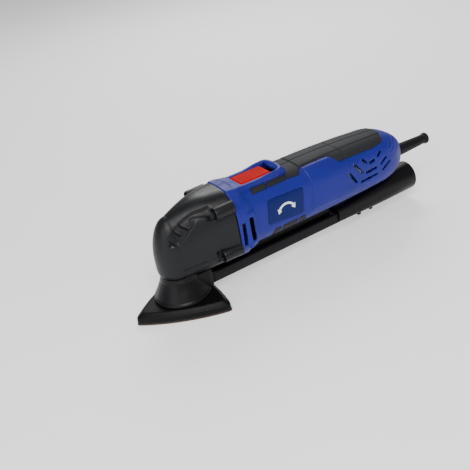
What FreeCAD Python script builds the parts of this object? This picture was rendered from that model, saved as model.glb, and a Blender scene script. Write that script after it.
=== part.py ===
import FreeCAD, Part
import math
import os
import Sketcher
from FreeCAD import Placement, Rotation, Vector

# Corded oscillating multi tool with a delta sanding pad and a dust extraction channel.
# Frame: origin on the spindle axis at the sanding face, +Z up along the spindle,
# +X towards the cord end, -Y the tool's left side. Millimetres.

doc = FreeCAD.newDocument("oscillating_multi_tool")
sheet = doc.addObject("Spreadsheet::Sheet", "Sizes")

SIZES = {
    # delta pad, from the abrasive upwards
    "pad_radius": 53.7, "pad_bulge": 5.5, "pad_tip": 2.5, "paper_top": 0.8, "hook_top": 2.2,
    "pad_edge": 7.4, "pad_top": 11.0, "plate_low": 7.6, "plate_top": 9.6, "plate_radius": 17.0,
    "pin_circle": 10.0, "pin_radius": 1.4, "clamp_bolt": 3.0,
    # spindle and fork
    "spindle_radius": 6.0, "spindle_top": 84.0, "flange_radius": 14.5, "flange_top": 13.6,
    "lower_bearing": 38.0, "bearing_outer": 13.0, "fork_reach": 34.0, "fork_gap": 1.6,
    # motor line
    "motor_height": 67.0, "stroke_offset": 0.7, "cam_radius": 8.0, "cam_start": 24.0,
    "shaft_radius": 4.0, "rotor_shaft": 5.0, "rotor_radius": 17.0, "rotor_start": 90.0,
    "rotor_end": 130.0, "stator_side": 46.0, "front_bearing": 50.0, "rear_bearing": 162.0,
    "fan_start": 63.0, "fan_radius": 23.0, "commutator_radius": 11.0,
    # head
    "neck_low": 34.0, "nose_radius": 19.0, "head_end": 56.0, "cover_wall": 2.2,
    # body
    "body_width": 30.0, "body_top": 97.5, "body_low": 37.0, "collar_grow": 2.5, "body_end": 274.0,
    "wall": 3.0, "skin": 1.4, "running": 0.03,
    # dust channel and cord
    "channel_low": 12.4, "channel_high": 24.6, "channel_half": 11.0, "channel_wall": 1.8,
    "outlet_start": 183.0, "outlet_end": 289.0, "outlet_radius": 15.5, "outlet_bore": 13.6,
    "cord_height": 57.5, "cord_bore": 3.7, "sleeve_radius": 6.5,
    # switch and dial
    "switch_start": 77.0, "switch_length": 34.0, "switch_half": 10.4, "switch_travel": 6.0,
    "dial_place": 250.0, "dial_radius": 11.0,
}
for row, (alias, value) in enumerate(SIZES.items(), start=1):
    sheet.set("A%d" % row, alias)
    sheet.set("B%d" % row, str(value))
    sheet.setAlias("B%d" % row, alias)
doc.recompute()


def size(alias):
    """Reads one driving dimension from the sheet."""
    return float(getattr(sheet, alias))


def value_of(measure):
    """The number behind a measure: a number, an alias, or (alias, offset)."""
    if isinstance(measure, str):
        return size(measure)
    if isinstance(measure, tuple):
        return size(measure[0]) + measure[1]
    return float(measure)


def bind(thing, path, measure):
    """Ties a property to the sheet when the measure names a cell."""
    if isinstance(measure, str):
        thing.setExpression(path, "Sizes.%s" % measure)
    elif isinstance(measure, tuple):
        thing.setExpression(path, "Sizes.%s + %s" % measure)


PIECES = []


def keep(thing, label):
    """Names a finished sub-part; its label is its file name."""
    thing.Label = label
    PIECES.append(thing)
    return thing


def new_body(label, at=(0, 0, 0)):
    body = doc.addObject("PartDesign::Body", "body_" + label)
    body.Placement = Placement(Vector(*[value_of(spot) for spot in at]), Rotation())
    for letter, measure in zip("xyz", at):
        bind(body, "Placement.Base." + letter, measure)
    return keep(body, label)


def sketch_on(body, role, rise=0):
    """A sketch on one of the body's own origin planes, raised along the plane's normal."""
    sketch = body.newObject("Sketcher::SketchObject", "sketch")
    plane = [item for item in body.Origin.OriginFeatures if item.Role == role][0]
    sketch.AttachmentSupport = [(plane, "")]
    sketch.MapMode = "FlatFace"
    sketch.AttachmentOffset = Placement(Vector(0, 0, value_of(rise)), Rotation())
    bind(sketch, "AttachmentOffset.Base.z", rise)
    return sketch


def draw_polygon(sketch, corners):
    """A closed outline whose every corner is dimensioned from the origin."""
    first = sketch.GeometryCount
    spots = [Vector(value_of(a), value_of(b), 0) for a, b in corners]
    count = len(spots)
    for index in range(count):
        line = Part.LineSegment(spots[index], spots[(index + 1) % count])
        sketch.addGeometry(line, False)
    for index in range(count):
        follower = first + (index + 1) % count
        sketch.addConstraint(Sketcher.Constraint("Coincident", first + index, 2, follower, 1))
    for index, pair in enumerate(corners):
        for kind, measure in zip(("DistanceX", "DistanceY"), pair):
            rule = Sketcher.Constraint(kind, -1, 1, first + index, 1, value_of(measure))
            number = sketch.addConstraint(rule)
            bind(sketch, "Constraints[%d]" % number, measure)


def draw_circle(sketch, radius, across=0, up=0):
    spot = Vector(value_of(across), value_of(up), 0)
    index = sketch.addGeometry(Part.Circle(spot, Vector(0, 0, 1), value_of(radius)), False)
    number = sketch.addConstraint(Sketcher.Constraint("Radius", index, value_of(radius)))
    bind(sketch, "Constraints[%d]" % number, radius)
    for kind, measure in (("DistanceX", across), ("DistanceY", up)):
        number = sketch.addConstraint(Sketcher.Constraint(kind, -1, 1, index, 3, value_of(measure)))
        bind(sketch, "Constraints[%d]" % number, measure)


def turn(body, axis, corners, feature="PartDesign::Revolution"):
    """Revolves a half profile of (along the axis, radius) corners about X or Z."""
    sketch = sketch_on(body, "XZ_Plane")
    if axis == "X":
        draw_polygon(sketch, corners)
    else:
        draw_polygon(sketch, [(radius, along) for along, radius in corners])
    lathe = body.newObject(feature, "turn")
    lathe.Profile = sketch
    lathe.ReferenceAxis = (sketch, ["H_Axis" if axis == "X" else "V_Axis"])
    lathe.Angle = 360
    doc.recompute()
    body.Tip = lathe
    return lathe


def turned(label, axis, corners, at=(0, 0, 0)):
    body = new_body(label, at)
    turn(body, axis, corners)
    return body


def tube(low, high, inner, outer):
    """Half profile of a plain ring from low to high."""
    return [(low, inner), (high, inner), (high, outer), (low, outer)]


def rod(low, high, radius):
    return tube(low, high, 0, radius)


def extrude(body, sketch, length, feature="PartDesign::Pad", back=False):
    solid = body.newObject(feature, "extrude")
    solid.Profile = sketch
    solid.Length = value_of(length)
    bind(solid, "Length", length)
    solid.Reversed = back
    doc.recompute()
    body.Tip = solid
    return solid


def around(body, feature, sketch, count):
    """Repeats a feature evenly round the sketch's own normal through the origin."""
    pattern = body.newObject("PartDesign::PolarPattern", "pattern")
    pattern.Originals = [feature]
    pattern.Axis = (sketch, ["N_Axis"])
    pattern.Angle = 360
    pattern.Occurrences = count
    doc.recompute()
    body.Tip = pattern
    return pattern


def block(x_span, y_span, z_span):
    """A plain box solid between the given spans."""
    (x0, x1), (y0, y1), (z0, z1) = [tuple(map(value_of, span)) for span in (x_span, y_span, z_span)]
    return Part.makeBox(x1 - x0, y1 - y0, z1 - z0, Vector(x0, y0, z0))


def cylinder(radius, start, end):
    """A cylinder solid between two points."""
    start = Vector(*map(value_of, start))
    end = Vector(*map(value_of, end))
    return Part.makeCylinder(value_of(radius), (end - start).Length, start, end - start)


def turned_solid(corners):
    """A solid turned about Z from (height, radius) corners."""
    spots = [Vector(radius, 0, height) for height, radius in corners]
    face = Part.Face(Part.makePolygon(spots + [spots[0]]))
    return face.revolve(Vector(0, 0, 0), Vector(0, 0, 1), 360)


def place_shape(label, shape):
    """Keeps a shape that neither a body nor a primitive fits."""
    piece = doc.addObject("Part::Feature", "piece_" + label)
    piece.Shape = shape
    return keep(piece, label)


def side_prism(corners, half=60):
    """A side-view outline of (x, z) corners taken right across the tool."""
    spots = [Vector(value_of(a), -half, value_of(b)) for a, b in corners]
    face = Part.Face(Part.makePolygon(spots + [spots[0]]))
    return face.extrude(Vector(0, 2 * half, 0))


LEFT = Part.makeBox(600, 200, 400, Vector(-200, -200, -100))
RIGHT = Part.makeBox(600, 200, 400, Vector(-200, 0, -100))


# ---------------------------------------------------------------- delta pad

def pad_wire(scale, height):
    """Three bulged sides between tips; one tip points forward, to -X."""
    radius = size("pad_radius") * scale
    middle = radius / 2 + size("pad_bulge") * scale
    arcs = []
    for turn_angle in (180, 300, 60):
        points = []
        for reach, angle in ((radius, 0), (middle, 60), (radius, 120)):
            bearing = math.radians(turn_angle + angle)
            points.append(Vector(reach * math.cos(bearing), reach * math.sin(bearing), height))
        arcs.append(Part.Arc(*points).toShape())
    return Part.Wire(arcs)


def pad_layer(low, high, scale_low=1.0, scale_high=1.0):
    """One layer of the pad with rounded tips."""
    wires = [pad_wire(scale_low, value_of(low)), pad_wire(scale_high, value_of(high))]
    layer = Part.makeLoft(wires, True, True)
    rising = []
    for edge in layer.Edges:
        if abs(edge.Vertexes[0].Point.z - edge.Vertexes[-1].Point.z) > 0.1:
            rising.append(edge)
    return layer.makeFillet(size("pad_tip"), rising)


HOLLOW = 12.5
place_shape("sanding_sheet", pad_layer(0, "paper_top"))
hook_bore = cylinder(HOLLOW, (0, 0, "paper_top"), (0, 0, "hook_top"))
place_shape("hook_layer", pad_layer("paper_top", "hook_top", 1.0, 0.995).cut(hook_bore))
pad_foot = pad_layer("hook_top", "pad_edge", 0.995, 0.985)
pad_shoulder = pad_layer("pad_edge", "pad_top", 0.985, 0.86)
pad_solid = pad_foot.fuse(pad_shoulder).removeSplitter()
pad_solid = pad_solid.cut(cylinder(HOLLOW, (0, 0, 0), (0, 0, "plate_low")))
pad_solid = pad_solid.cut(cylinder("plate_radius", (0, 0, "plate_low"), (0, 0, 20)))
place_shape("sanding_pad", pad_solid)

# Steel plate moulded into the pad, with the twelve-hole drive pattern.
plate = new_body("pad_plate")
outline = sketch_on(plate, "XY_Plane", "plate_low")
draw_circle(outline, "plate_radius")
draw_circle(outline, 5.1)
extrude(plate, outline, 2)
holes = sketch_on(plate, "XY_Plane", "plate_low")
draw_circle(holes, ("pin_radius", 0.2), "pin_circle")
first_hole = extrude(plate, holes, 2, "PartDesign::Pocket", True)
around(plate, first_hole, holes, 12)

# Clamp washer and socket screw that hold the pad against the flange.
turned("clamp_washer", "Z", tube(("plate_low", -2), "plate_low", ("clamp_bolt", 0.1), 9))
screw = new_body("clamp_screw")
turn(screw, "Z", [(2.8, 0), (24, 0), (24, "clamp_bolt"), (("plate_low", -2), "clamp_bolt"),
                  (("plate_low", -2), 5), (2.8, 5)])
socket = sketch_on(screw, "XY_Plane", 2.8)
SOCKET = 2.9
hexagon = [(SOCKET * math.cos(math.radians(a)), SOCKET * math.sin(math.radians(a)))
           for a in range(0, 360, 60)]
draw_polygon(socket, hexagon)
extrude(screw, socket, 2, "PartDesign::Pocket", True)

# ---------------------------------------------------------------- spindle

spindle = new_body("spindle")
turn(spindle, "Z", [("plate_top", 0), ("spindle_top", 0), ("spindle_top", 4),
                    (("spindle_top", -8), 4), (("spindle_top", -8), "spindle_radius"),
                    ("flange_top", "spindle_radius"), ("flange_top", 9.5), ("plate_top", 9.5)])
turn(spindle, "Z", rod("plate_top", 24, "clamp_bolt"), "PartDesign::Groove")

flange = new_body("drive_flange")
turn(flange, "Z", tube("plate_top", "flange_top", 9.5, "flange_radius"))
pins = sketch_on(flange, "XY_Plane", ("plate_low", 0.3))
draw_circle(pins, 0.9, ("pin_circle", 0.6))
first_pin = extrude(flange, pins, 2.2)
around(flange, first_pin, pins, 12)

# Fork lever: a hub on the spindle with two prongs either side of the eccentric bearing.
prong = size("cam_radius") + size("fork_gap")
reach = size("fork_reach")
motor = size("motor_height")
lever = cylinder(11, (0, 0, motor - 7), (0, 0, motor + 7))
lever = lever.fuse(block((0, 15), (-7, 7), (motor - 6, motor + 6)))
lever = lever.fuse(block((14, 19), (-prong - 4, prong + 4), (motor - 6, motor + 6)))
for side in (-1, 1):
    inner, outer = sorted((side * prong, side * (prong + 4)))
    lever = lever.fuse(block((18, reach), (inner, outer), (motor - 6, motor + 6)))
lever = lever.removeSplitter()
lever = lever.cut(cylinder("spindle_radius", (0, 0, 40), (0, 0, 90)))
place_shape("fork_lever", lever)


def ball_bearing(label, axis, low, width, inner, outer, at=(0, 0, 0)):
    """Inner race, outer race and a ring of balls, as separate solids."""
    low, inner, outer = value_of(low), value_of(inner), value_of(outer)
    step = (outer - inner) * 0.3
    direction = Vector(1, 0, 0) if axis == "X" else Vector(0, 0, 1)
    centre = Vector(*map(value_of, at))
    start = centre + direction * low
    races = []
    for small, large in ((inner, inner + step), (outer - step, outer)):
        ring = Part.makeCylinder(large, width, start, direction)
        races.append(ring.cut(Part.makeCylinder(small, width, start, direction)))
    ball_radius = (outer - inner - 2 * step) / 2 - 0.02
    pitch = (inner + outer) / 2
    count = int(math.pi * pitch / (ball_radius * 1.6))
    for number in range(count):
        bearing = 2 * math.pi * number / count
        across = Vector(0, math.cos(bearing), math.sin(bearing))
        if axis == "Z":
            across = Vector(math.cos(bearing), math.sin(bearing), 0)
        spot = start + direction * (width / 2) + across * pitch
        races.append(Part.makeSphere(ball_radius, spot))
    return place_shape(label, Part.makeCompound(races))


running = size("running")
ball_bearing("spindle_bearing_lower", "Z", "lower_bearing", 8, ("spindle_radius", running),
             "bearing_outer")
turned("spindle_bearing_upper", "Z", tube(("spindle_top", -7), "spindle_top", 4 + running, 8))
lower = size("lower_bearing")
turned("felt_seal", "Z", tube(lower - 3.4, lower - 1.4, ("spindle_radius", 0.05), 11.95))
clip = cylinder(("bearing_outer", 0.8), (0, 0, lower - 1.3), (0, 0, lower - 0.1))
clip = clip.cut(cylinder(("bearing_outer", -1.4), (0, 0, lower - 2), (0, 0, lower + 1)))
clip = clip.cut(block((8, 20), (-2.5, 2.5), (lower - 2, lower + 1)))
place_shape("circlip", clip)

# ---------------------------------------------------------------- armature

# The eccentric journal stands off the motor axis along Z at rest.
offset = size("stroke_offset")
shaft = new_body("armature_shaft", (0, 0, "motor_height"))
turn(shaft, "X", [(33, 0), (170, 0), (170, 3.5), ("rear_bearing", 3.5), ("rear_bearing", "rotor_shaft"),
                  (58, "rotor_shaft"), (58, "shaft_radius"), (33, "shaft_radius")])
journal = sketch_on(shaft, "YZ_Plane", "cam_start")
draw_circle(journal, 3, 0, "stroke_offset")
extrude(shaft, journal, 10)
ball_bearing("eccentric_bearing", "X", "cam_start", 6, 3, "cam_radius", (0, 0, motor + offset))
weight = cylinder(12, (36, 0, "motor_height"), (44, 0, "motor_height"))
weight = weight.cut(block((30, 50), (-20, 20), (motor + 4.5, motor + 20)))
weight = weight.cut(cylinder("shaft_radius", (30, 0, "motor_height"), (50, 0, "motor_height")))
place_shape("counterweight", weight)

fan = new_body("cooling_fan", (0, 0, "motor_height"))
turn(fan, "X", [("fan_start", "rotor_shaft"), (("fan_start", 12), "rotor_shaft"),
                (("fan_start", 12), 9), (("fan_start", 2), 9), (("fan_start", 2), "fan_radius"),
                ("fan_start", "fan_radius")])
blade = sketch_on(fan, "YZ_Plane", ("fan_start", 1))
draw_polygon(blade, [(-0.8, 8.5), (0.8, 8.5), (0.8, ("fan_radius", -0.5)), (-0.8, ("fan_radius", -0.5))])
first_blade = extrude(fan, blade, 10)
around(fan, first_blade, blade, 12)

core = new_body("armature_core", (0, 0, "motor_height"))
turn(core, "X", tube("rotor_start", "rotor_end", "rotor_shaft", "rotor_radius"))
slot = sketch_on(core, "YZ_Plane", "rotor_end")
draw_polygon(slot, [(-1.4, 10), (1.4, 10), (1.4, 15.6), (0.6, 18), (-0.6, 18), (-1.4, 15.6)])
first_slot = extrude(core, slot, 60, "PartDesign::Pocket")
around(core, first_slot, slot, 12)

windings = new_body("armature_windings", (0, 0, "motor_height"))
turn(windings, "X", tube(("rotor_end", 0.2), ("rotor_end", 7), "rotor_shaft", 15))
wire = sketch_on(windings, "YZ_Plane", ("rotor_end", 1))
draw_polygon(wire, [(-1.2, 10.2), (1.2, 10.2), (1.2, 15.0), (-1.2, 15.0)])
first_wire = extrude(windings, wire, 49, back=True)
around(windings, first_wire, wire, 12)
turn(windings, "X", tube(("rotor_start", -7), ("rotor_start", -0.2), "rotor_shaft", 15))

commutator = new_body("commutator", (0, 0, "motor_height"))
turn(commutator, "X", [(140, "rotor_shaft"), (156, "rotor_shaft"), (156, "commutator_radius"),
                       (143, "commutator_radius"), (143, 12.5), (140, 12.5)])
gap = sketch_on(commutator, "YZ_Plane", 156)
draw_polygon(gap, [(-0.3, 10), (0.3, 10), (0.3, 13), (-0.3, 13)])
first_gap = extrude(commutator, gap, 16, "PartDesign::Pocket")
around(commutator, first_gap, gap, 24)

# ---------------------------------------------------------------- motor, fixed pieces

ball_bearing("motor_bearing_front", "X", "front_bearing", 7, 4 + running, 11, (0, 0, "motor_height"))
ball_bearing("motor_bearing_rear", "X", "rear_bearing", 6, 3.5 + running, 9.5, (0, 0, "motor_height"))
turned("bearing_seat", "X", tube("rear_bearing", ("rear_bearing", 6), 9.5, 11),
       (0, 0, "motor_height"))

half_stator = size("stator_side") / 2
stator_box = block(("rotor_start", "rotor_end"), (-half_stator, half_stator),
                   (motor - half_stator + 0.5, motor + half_stator - 0.5))
along_x = [edge for edge in stator_box.Edges if abs(edge.tangentAt(edge.FirstParameter).x) > 0.9]
stator_box = stator_box.makeFillet(11, along_x)
bore = cylinder(("rotor_radius", 0.8), ("rotor_start", 0, motor), ("rotor_end", 0, motor))
window = cylinder(21.8, ("rotor_start", 0, motor), ("rotor_end", 0, motor))
window = window.common(block((50, 200), (-40, 40), (motor - 10.5, motor + 10.5)))
place_shape("stator_core", stator_box.cut(bore).cut(window))

# Two saddle coils: straight runs in the core's windows, arched turns past its ends.
coil_start, coil_end = size("rotor_start") - 6, size("rotor_end") + 6
loop = cylinder(21.6, (coil_start, 0, motor), (coil_end, 0, motor))
loop = loop.cut(cylinder(18.4, (coil_start, 0, motor), (coil_end, 0, motor)))
coils = []
for side in (-1, 1):
    low, high = sorted((side * 0.8, side * 40))
    keep_out_low, keep_out_high = sorted((side * 10.2, side * 40))
    coil = loop.common(block((50, 200), (-40, 40), (motor + low, motor + high)))
    coil = coil.cut(block((("rotor_start", -0.2), ("rotor_end", 0.2)), (-40, 40),
                          (motor + keep_out_low, motor + keep_out_high)))
    coils.append(coil)
place_shape("field_coils", Part.makeCompound(coils))


def both_sides(shape):
    """The shape and its mirror image on the other side of the tool."""
    return Part.makeCompound([shape, shape.mirror(Vector(0, 0, 0), Vector(0, 1, 0))])


brush_x = 149.5
brush = block((brush_x - 3.5, brush_x + 3.5), ("commutator_radius", 20), (motor - 2.5, motor + 2.5))
brush = brush.cut(cylinder(("commutator_radius", running), (130, 0, motor), (170, 0, motor)))
place_shape("carbon_brushes", both_sides(brush))
holder = block((brush_x - 4.5, brush_x + 4.5), (13, 26), (motor - 3.5, motor + 3.5))
holder = holder.cut(block((brush_x - 3.5, brush_x + 3.5), (12, 25), (motor - 2.5, motor + 2.5)))
place_shape("brush_holders", both_sides(holder))
coil_path = Part.makeHelix(1.25, 5.0, 1.7)
coil_wire = Part.Wire(Part.makeCircle(0.3, Vector(1.7, 0, 0), Vector(0, 1, 0)))
coil_spring = Part.Wire(coil_path).makePipeShell([coil_wire], True, True)
coil_spring.rotate(Vector(0, 0, 0), Vector(1, 0, 0), -90)
coil_spring.translate(Vector(brush_x, 20.0, motor))
coil_spring = coil_spring.common(block((100, 200), (20.0, 25), (0, 200)))
place_shape("brush_springs", both_sides(coil_spring))

# ---------------------------------------------------------------- head

def oval(x, half, high, low, middle, round_top, round_low, count=28):
    """A closed section across the tool with its own roundness above and below."""
    points = []
    for number in range(count):
        angle = 2 * math.pi * number / count
        across, rise = math.cos(angle), math.sin(angle)
        power = round_top if rise >= 0 else round_low
        tall = high - middle if rise >= 0 else middle - low
        y = half * math.copysign(abs(across) ** (2 / power), across)
        z = middle + tall * math.copysign(abs(rise) ** (2 / power), rise)
        points.append(Vector(x, y, z))
    curve = Part.BSplineCurve()
    curve.interpolate(points, True)
    return Part.Wire(curve.toShape())


def head_section(place, inset):
    """Head outline; place runs from -1 at the nose tip over 0 at the spindle to 1 at the collar."""
    nose = size("nose_radius")
    growth = max(place, 0)
    half = nose + (size("body_width") + 1 - nose) * growth ** 0.8
    high = 95 + 9 * math.sin(math.pi / 2 * min(growth * 1.5, 1))
    low = size("neck_low") - 0.5 * growth
    middle = 52 + (motor - 52) * growth
    round_top = 1.95 + 0.85 * growth
    round_low = 5.0 - 1.8 * growth
    half, high, low = half - inset, high - inset, low + inset * 0.5
    x = size("head_end") * place
    if place < 0:
        # Ahead of the spindle the head is round about it, seen from above.
        depth = math.sin(-place * math.pi / 2)
        x = -depth * half
        half *= math.cos(-place * math.pi / 2)
        high = middle + (high - middle) * (1 - depth ** round_top) ** (1 / round_top)
        low = middle - (middle - low) * (1 - depth ** round_low) ** (1 / round_low)
    return oval(x, half, high, low, middle, round_top, round_low)


def head_envelope(inset):
    """Round nose, then sections growing back to the collar."""
    places = [-0.88, -0.72, -0.54, -0.36, -0.18] + [number / 7 for number in range(8)]
    return Part.makeLoft([head_section(place, inset) for place in places], True, True)


head_outer = head_envelope(0)
head_middle = head_envelope(size("cover_wall"))
head_inner = head_envelope(size("cover_wall") + 0.3)

head_end = size("head_end")
BOSSES = [(side * across, height) for side in (-1, 1) for across, height in ((25.5, 91.0), (27.5, 47.5))]
boss_shells = []
for across, height in BOSSES:
    boss_shells.append(cylinder(5.6, (37, across, height), (head_end, across, height)))
plateau = head_envelope(-2.4).common(block((27, "head_end"), (-16, 16), (95, 120)))
cover = head_outer.fuse(boss_shells + [plateau])
cover = cover.cut(head_middle)
for across, height in BOSSES:
    cover = cover.cut(cylinder(3.6, (30, across, height), (41, across, height)))
    cover = cover.cut(cylinder(1.6, (38, across, height), (60, across, height)))
cover = cover.cut(cylinder(16.5, (0, 0, 20), (0, 0, 40)))
cover = cover.cut(Part.makeBox(60, 160, 200, Vector(head_end, -80, 0)))
cover = sorted(cover.Solids, key=lambda solid: solid.Volume)[-1]
place_shape("head_cover", cover)

# One casting: a chamber for the fork, seats for four bearings, grooves for the cover's bosses.
top = size("spindle_top")
chamber = cylinder(12, (0, 0, lower + 12), (0, 0, top - 9))
chamber = chamber.fuse([block((8, 22.5), (-15.3, 15.3), (motor - 7, motor + 7)),
                        block((22, 35), (-15.3, 15.3), (motor - 9.5, motor + 9.5)),
                        block((34, 46), (-15.3, 15.3), (motor - 14, motor + 14))])
housing = head_inner.cut(chamber)
housing = housing.cut(block((head_end - 2, head_end + 10), (-60, 60), (0, 200)))
housing = housing.fuse([cylinder(14, (50, 0, motor), (57, 0, motor)),
                        cylinder(16, (0, 0, lower - 3.4), (0, 0, lower + 9))])
housing = housing.cut(turned_solid([(20, 0), (20, 12), (lower - 1.4, 12), (lower - 1.4, 13.9),
                                    (lower, 13.9), (lower, 13), (lower + 8, 13), (lower + 8, 11.5),
                                    (lower + 13, 11.5), (lower + 13, 0)]))
housing = housing.cut(cylinder(8, (0, 0, top - 10), (0, 0, top + 2)))
housing = housing.cut(cylinder(11, ("front_bearing", 0, motor), (57, 0, motor)))
housing = housing.cut(cylinder(9.5, (40, 0, motor), (57, 0, motor)))
for across, height in BOSSES:
    housing = housing.cut(cylinder(6.2, (30, across, height), (60, across, height)))
housing = sorted(housing.Solids, key=lambda solid: solid.Volume)[-1]
place_shape("gear_housing", housing)

# Four screws run back through the cover's bosses into the body shells.
screws = []
for across, height in BOSSES:
    head = cylinder(3.3, (38, across, height), (41, across, height))
    shank = cylinder(1.55, (41, across, height), (68, across, height))
    cross = block((37, 39.4), (across - 2, across + 2), (height - 0.4, height + 0.4))
    screws.append(head.fuse(shank).cut(cross))
place_shape("head_screws", Part.makeCompound(screws))

# ---------------------------------------------------------------- body shells

def body_section(x, half, high, low, inset):
    middle = (high + low) / 2
    return oval(x, half - inset, high - inset, low + inset, middle, 2.8, 2.8)


def body_envelope(inset, front=0.0):
    """Collar, straight barrel and a domed rear end."""
    grow = size("collar_grow")
    width, high, low = size("body_width"), size("body_top"), size("body_low")
    start = size("head_end") - front
    sections = [(start, width + grow, high + 6, low - 6), (65, width + grow, high + 6, low - 6),
                (72, width + 0.6, high + 1.2, low - 2), (79, width, high, low),
                (150, width, high - 0.5, low), (205, width - 0.8, high - 2.2, low + 0.6)]
    dome_start, dome_length = 232, size("body_end") - 232 - inset
    dome_low, dome_high, dome_half = low + 1.6, high - 4.2, width - 1.6
    centre = size("cord_height") + 4
    for degrees in (0, 22, 42, 58, 71, 80):
        turn_angle = math.radians(degrees)
        shrink = math.cos(turn_angle) ** 0.8
        sections.append((dome_start + dome_length * math.sin(turn_angle), dome_half * shrink,
                         centre + (dome_high - centre) * shrink, centre - (centre - dome_low) * shrink))
    wires = [body_section(x, half, top, bottom, inset * min(1, half / 16))
             for x, half, top, bottom in sections]
    return Part.makeLoft(wires, True, True)


body_outer = body_envelope(0)
body_skin = body_envelope(size("skin"), 5)
body_inner = body_envelope(size("wall"), 5)
# Rear vents: three nested trays, each a left leg, a floor and a right leg in side view.
REAR_SLOTS = [((189, 73.5), (197.5, 59.5)), ((203, 58), (225.5, 59)), ((232, 60), (243.5, 67)),
              ((196, 80.5), (206, 67)), ((210, 65.7), (224.7, 66.3)), ((230, 67.5), (238.7, 73.2)),
              ((207.8, 81.5), (212.4, 75.4)), ((215.5, 74.2), (223, 75.5)), ((227, 77), (232.8, 81))]


def slit(start, end, width):
    """A straight slot between two (x, z) points, right across the tool."""
    run = Vector(end[0] - start[0], 0, end[1] - start[1]).normalize()
    across = Vector(-run.z, 0, run.x) * (width / 2)
    corners = []
    for spot, side in ((start, 1), (end, 1), (end, -1), (start, -1)):
        corners.append((spot[0] + side * across.x, spot[1] + side * across.z))
    return side_prism(corners)


added = []
removed = []

# Raised surround of the switch with the window that the button slides in.
switch_start, switch_length = size("switch_start"), size("switch_length")
switch_end = switch_start + switch_length + size("switch_travel") + 2
surround = side_prism([(71, 92), (75, 100.6), (114, 100.6), (119, 102.4), (124, 101), (128, 92)], 15)
surround = surround.cut(body_inner)
added.append(surround)
removed.append(block((switch_start - 1, switch_end), (-11.2, 11.2), (85, 120)))

# Cooling slots: two upright ones in each side of the collar, nested chevrons near the rear.
for slot_x, slot_low in ((61, 48.4), (69.8, 50.9)):
    removed.append(block((slot_x - 1.5, slot_x + 1.5), (-50, 50), (slot_low, slot_low + 25)))
for start, end in REAR_SLOTS:
    removed.append(slit(start, end, 2.6))

# Inside webs that hold the stator, the rear bearing and the cord clamp.
for web_x in (94, 124):
    web = body_inner.common(block((web_x, web_x + 2.5), (-60, 60), (0, 200)))
    added.append(web.cut(block((60, 160), (-half_stator, half_stator), (motor - 22.5, motor + 26.5))))
bearing_web = body_inner.common(block(("rear_bearing", ("rear_bearing", 6)), (-60, 60), (0, 200)))
bearing_web = bearing_web.cut([cylinder(11, (150, 0, motor), (180, 0, motor)),
                               block((150, 180), (-6, 6), (motor + 19, 120))])
added.append(bearing_web)
added.append(body_inner.common(block((246, 256), (-60, 60), (0, 52))))
cord_height = size("cord_height")
removed.append(cylinder("sleeve_radius", (257, 0, cord_height), (300, 0, cord_height)))

# Screw posts that pull the two shells together, and their holes.
POSTS = [(84, 41.2), (140, 41.5), (178, 44.5), (178, 84), (222, 46), (222, 82)]
for post_x, post_z in POSTS:
    added.append(cylinder(3.6, (post_x, -24, post_z), (post_x, 24, post_z)).common(body_outer))
    removed.append(cylinder(1.45, (post_x, -18, post_z), (post_x, 17.5, post_z)))
    removed.append(cylinder(3.2, (post_x, 17, post_z), (post_x, 40, post_z)))
for across, height in BOSSES:
    added.append(cylinder(4.2, (57, across, height), (68, across, height)).common(body_outer))
    removed.append(cylinder(1.55, (50, across, height), (68, across, height)))

# Speed dial slot in the right side.
dial_x, dial_radius = size("dial_place"), size("dial_radius")
DIAL_Y, DIAL_Z = 16.0, 80.0
removed.append(cylinder(dial_radius + 0.6, (dial_x, DIAL_Y, DIAL_Z - 3.4),
                        (dial_x, DIAL_Y, DIAL_Z + 3.4)))

GRIP_TOP = [(122.6, 96.4), (120.5, 92.2), (134, 91.5), (140, 94.8), (172, 94.8), (181, 88), (226, 86),
            (240.5, 87.5), (246.5, 91), (246.5, 130), (122.6, 130)]
TONGUES = [[(80.5, 92.2), (96.5, 92.2), (98.5, 96.4), (82.5, 96.4)],
           [(98, 92.2), (119, 92.2), (121, 96.4), (100, 96.4)]]
LOWER_STRIPS = [[(93, 43), (104, 43), (104, 51), (96, 51)],
                [(105.5, 43), (124, 43), (124, 51), (105.5, 51)],
                [(125.5, 43), (135, 43), (132, 51.5), (125.5, 51.5)]]
BADGE = [(88, 58), (130, 54.5), (133, 82), (91, 83.5)]
skin_solid = body_outer.cut(body_skin)
grip = skin_solid.common([side_prism(corners) for corners in [GRIP_TOP] + TONGUES]).cut(surround)
strips = skin_solid.common([side_prism(corners) for corners in LOWER_STRIPS])
badge = skin_solid.common(side_prism(BADGE))
shell_whole = body_outer.cut(body_inner).fuse(added).cut(removed + [grip, strips, badge])


def largest(shape):
    return sorted(shape.Solids, key=lambda solid: solid.Volume)[-1]


place_shape("body_shell_left", largest(shell_whole.common(LEFT)))
place_shape("body_shell_right", largest(shell_whole.common(RIGHT)))
for side_name, side_box in (("left", LEFT), ("right", RIGHT)):
    place_shape("soft_grip_" + side_name, Part.makeCompound(grip.common(side_box).Solids))
    place_shape("lower_grip_" + side_name, Part.makeCompound(strips.common(side_box).Solids))
    place_shape("badge_" + side_name, Part.makeCompound(badge.common(side_box).Solids))

shell_screws = []
for post_x, post_z in POSTS:
    head = cylinder(3.0, (post_x, 17, post_z), (post_x, 19.4, post_z))
    shank = cylinder(1.4, (post_x, -16, post_z), (post_x, 17, post_z))
    cross = block((post_x - 2, post_x + 2), (18.2, 21), (post_z - 0.4, post_z + 0.4))
    shell_screws.append(head.fuse(shank).cut(cross))
place_shape("shell_screws", Part.makeCompound(shell_screws))

# ---------------------------------------------------------------- inside the rear

baffle = body_inner.common(block((78, 80), (-60, 60), (0, 200)))
baffle = baffle.cut(cylinder(15, (70, 0, motor), (90, 0, motor)))
baffle = baffle.cut(block((70, 90), (-15, 15), (88, 120)))
place_shape("fan_baffle", largest(baffle))

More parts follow.
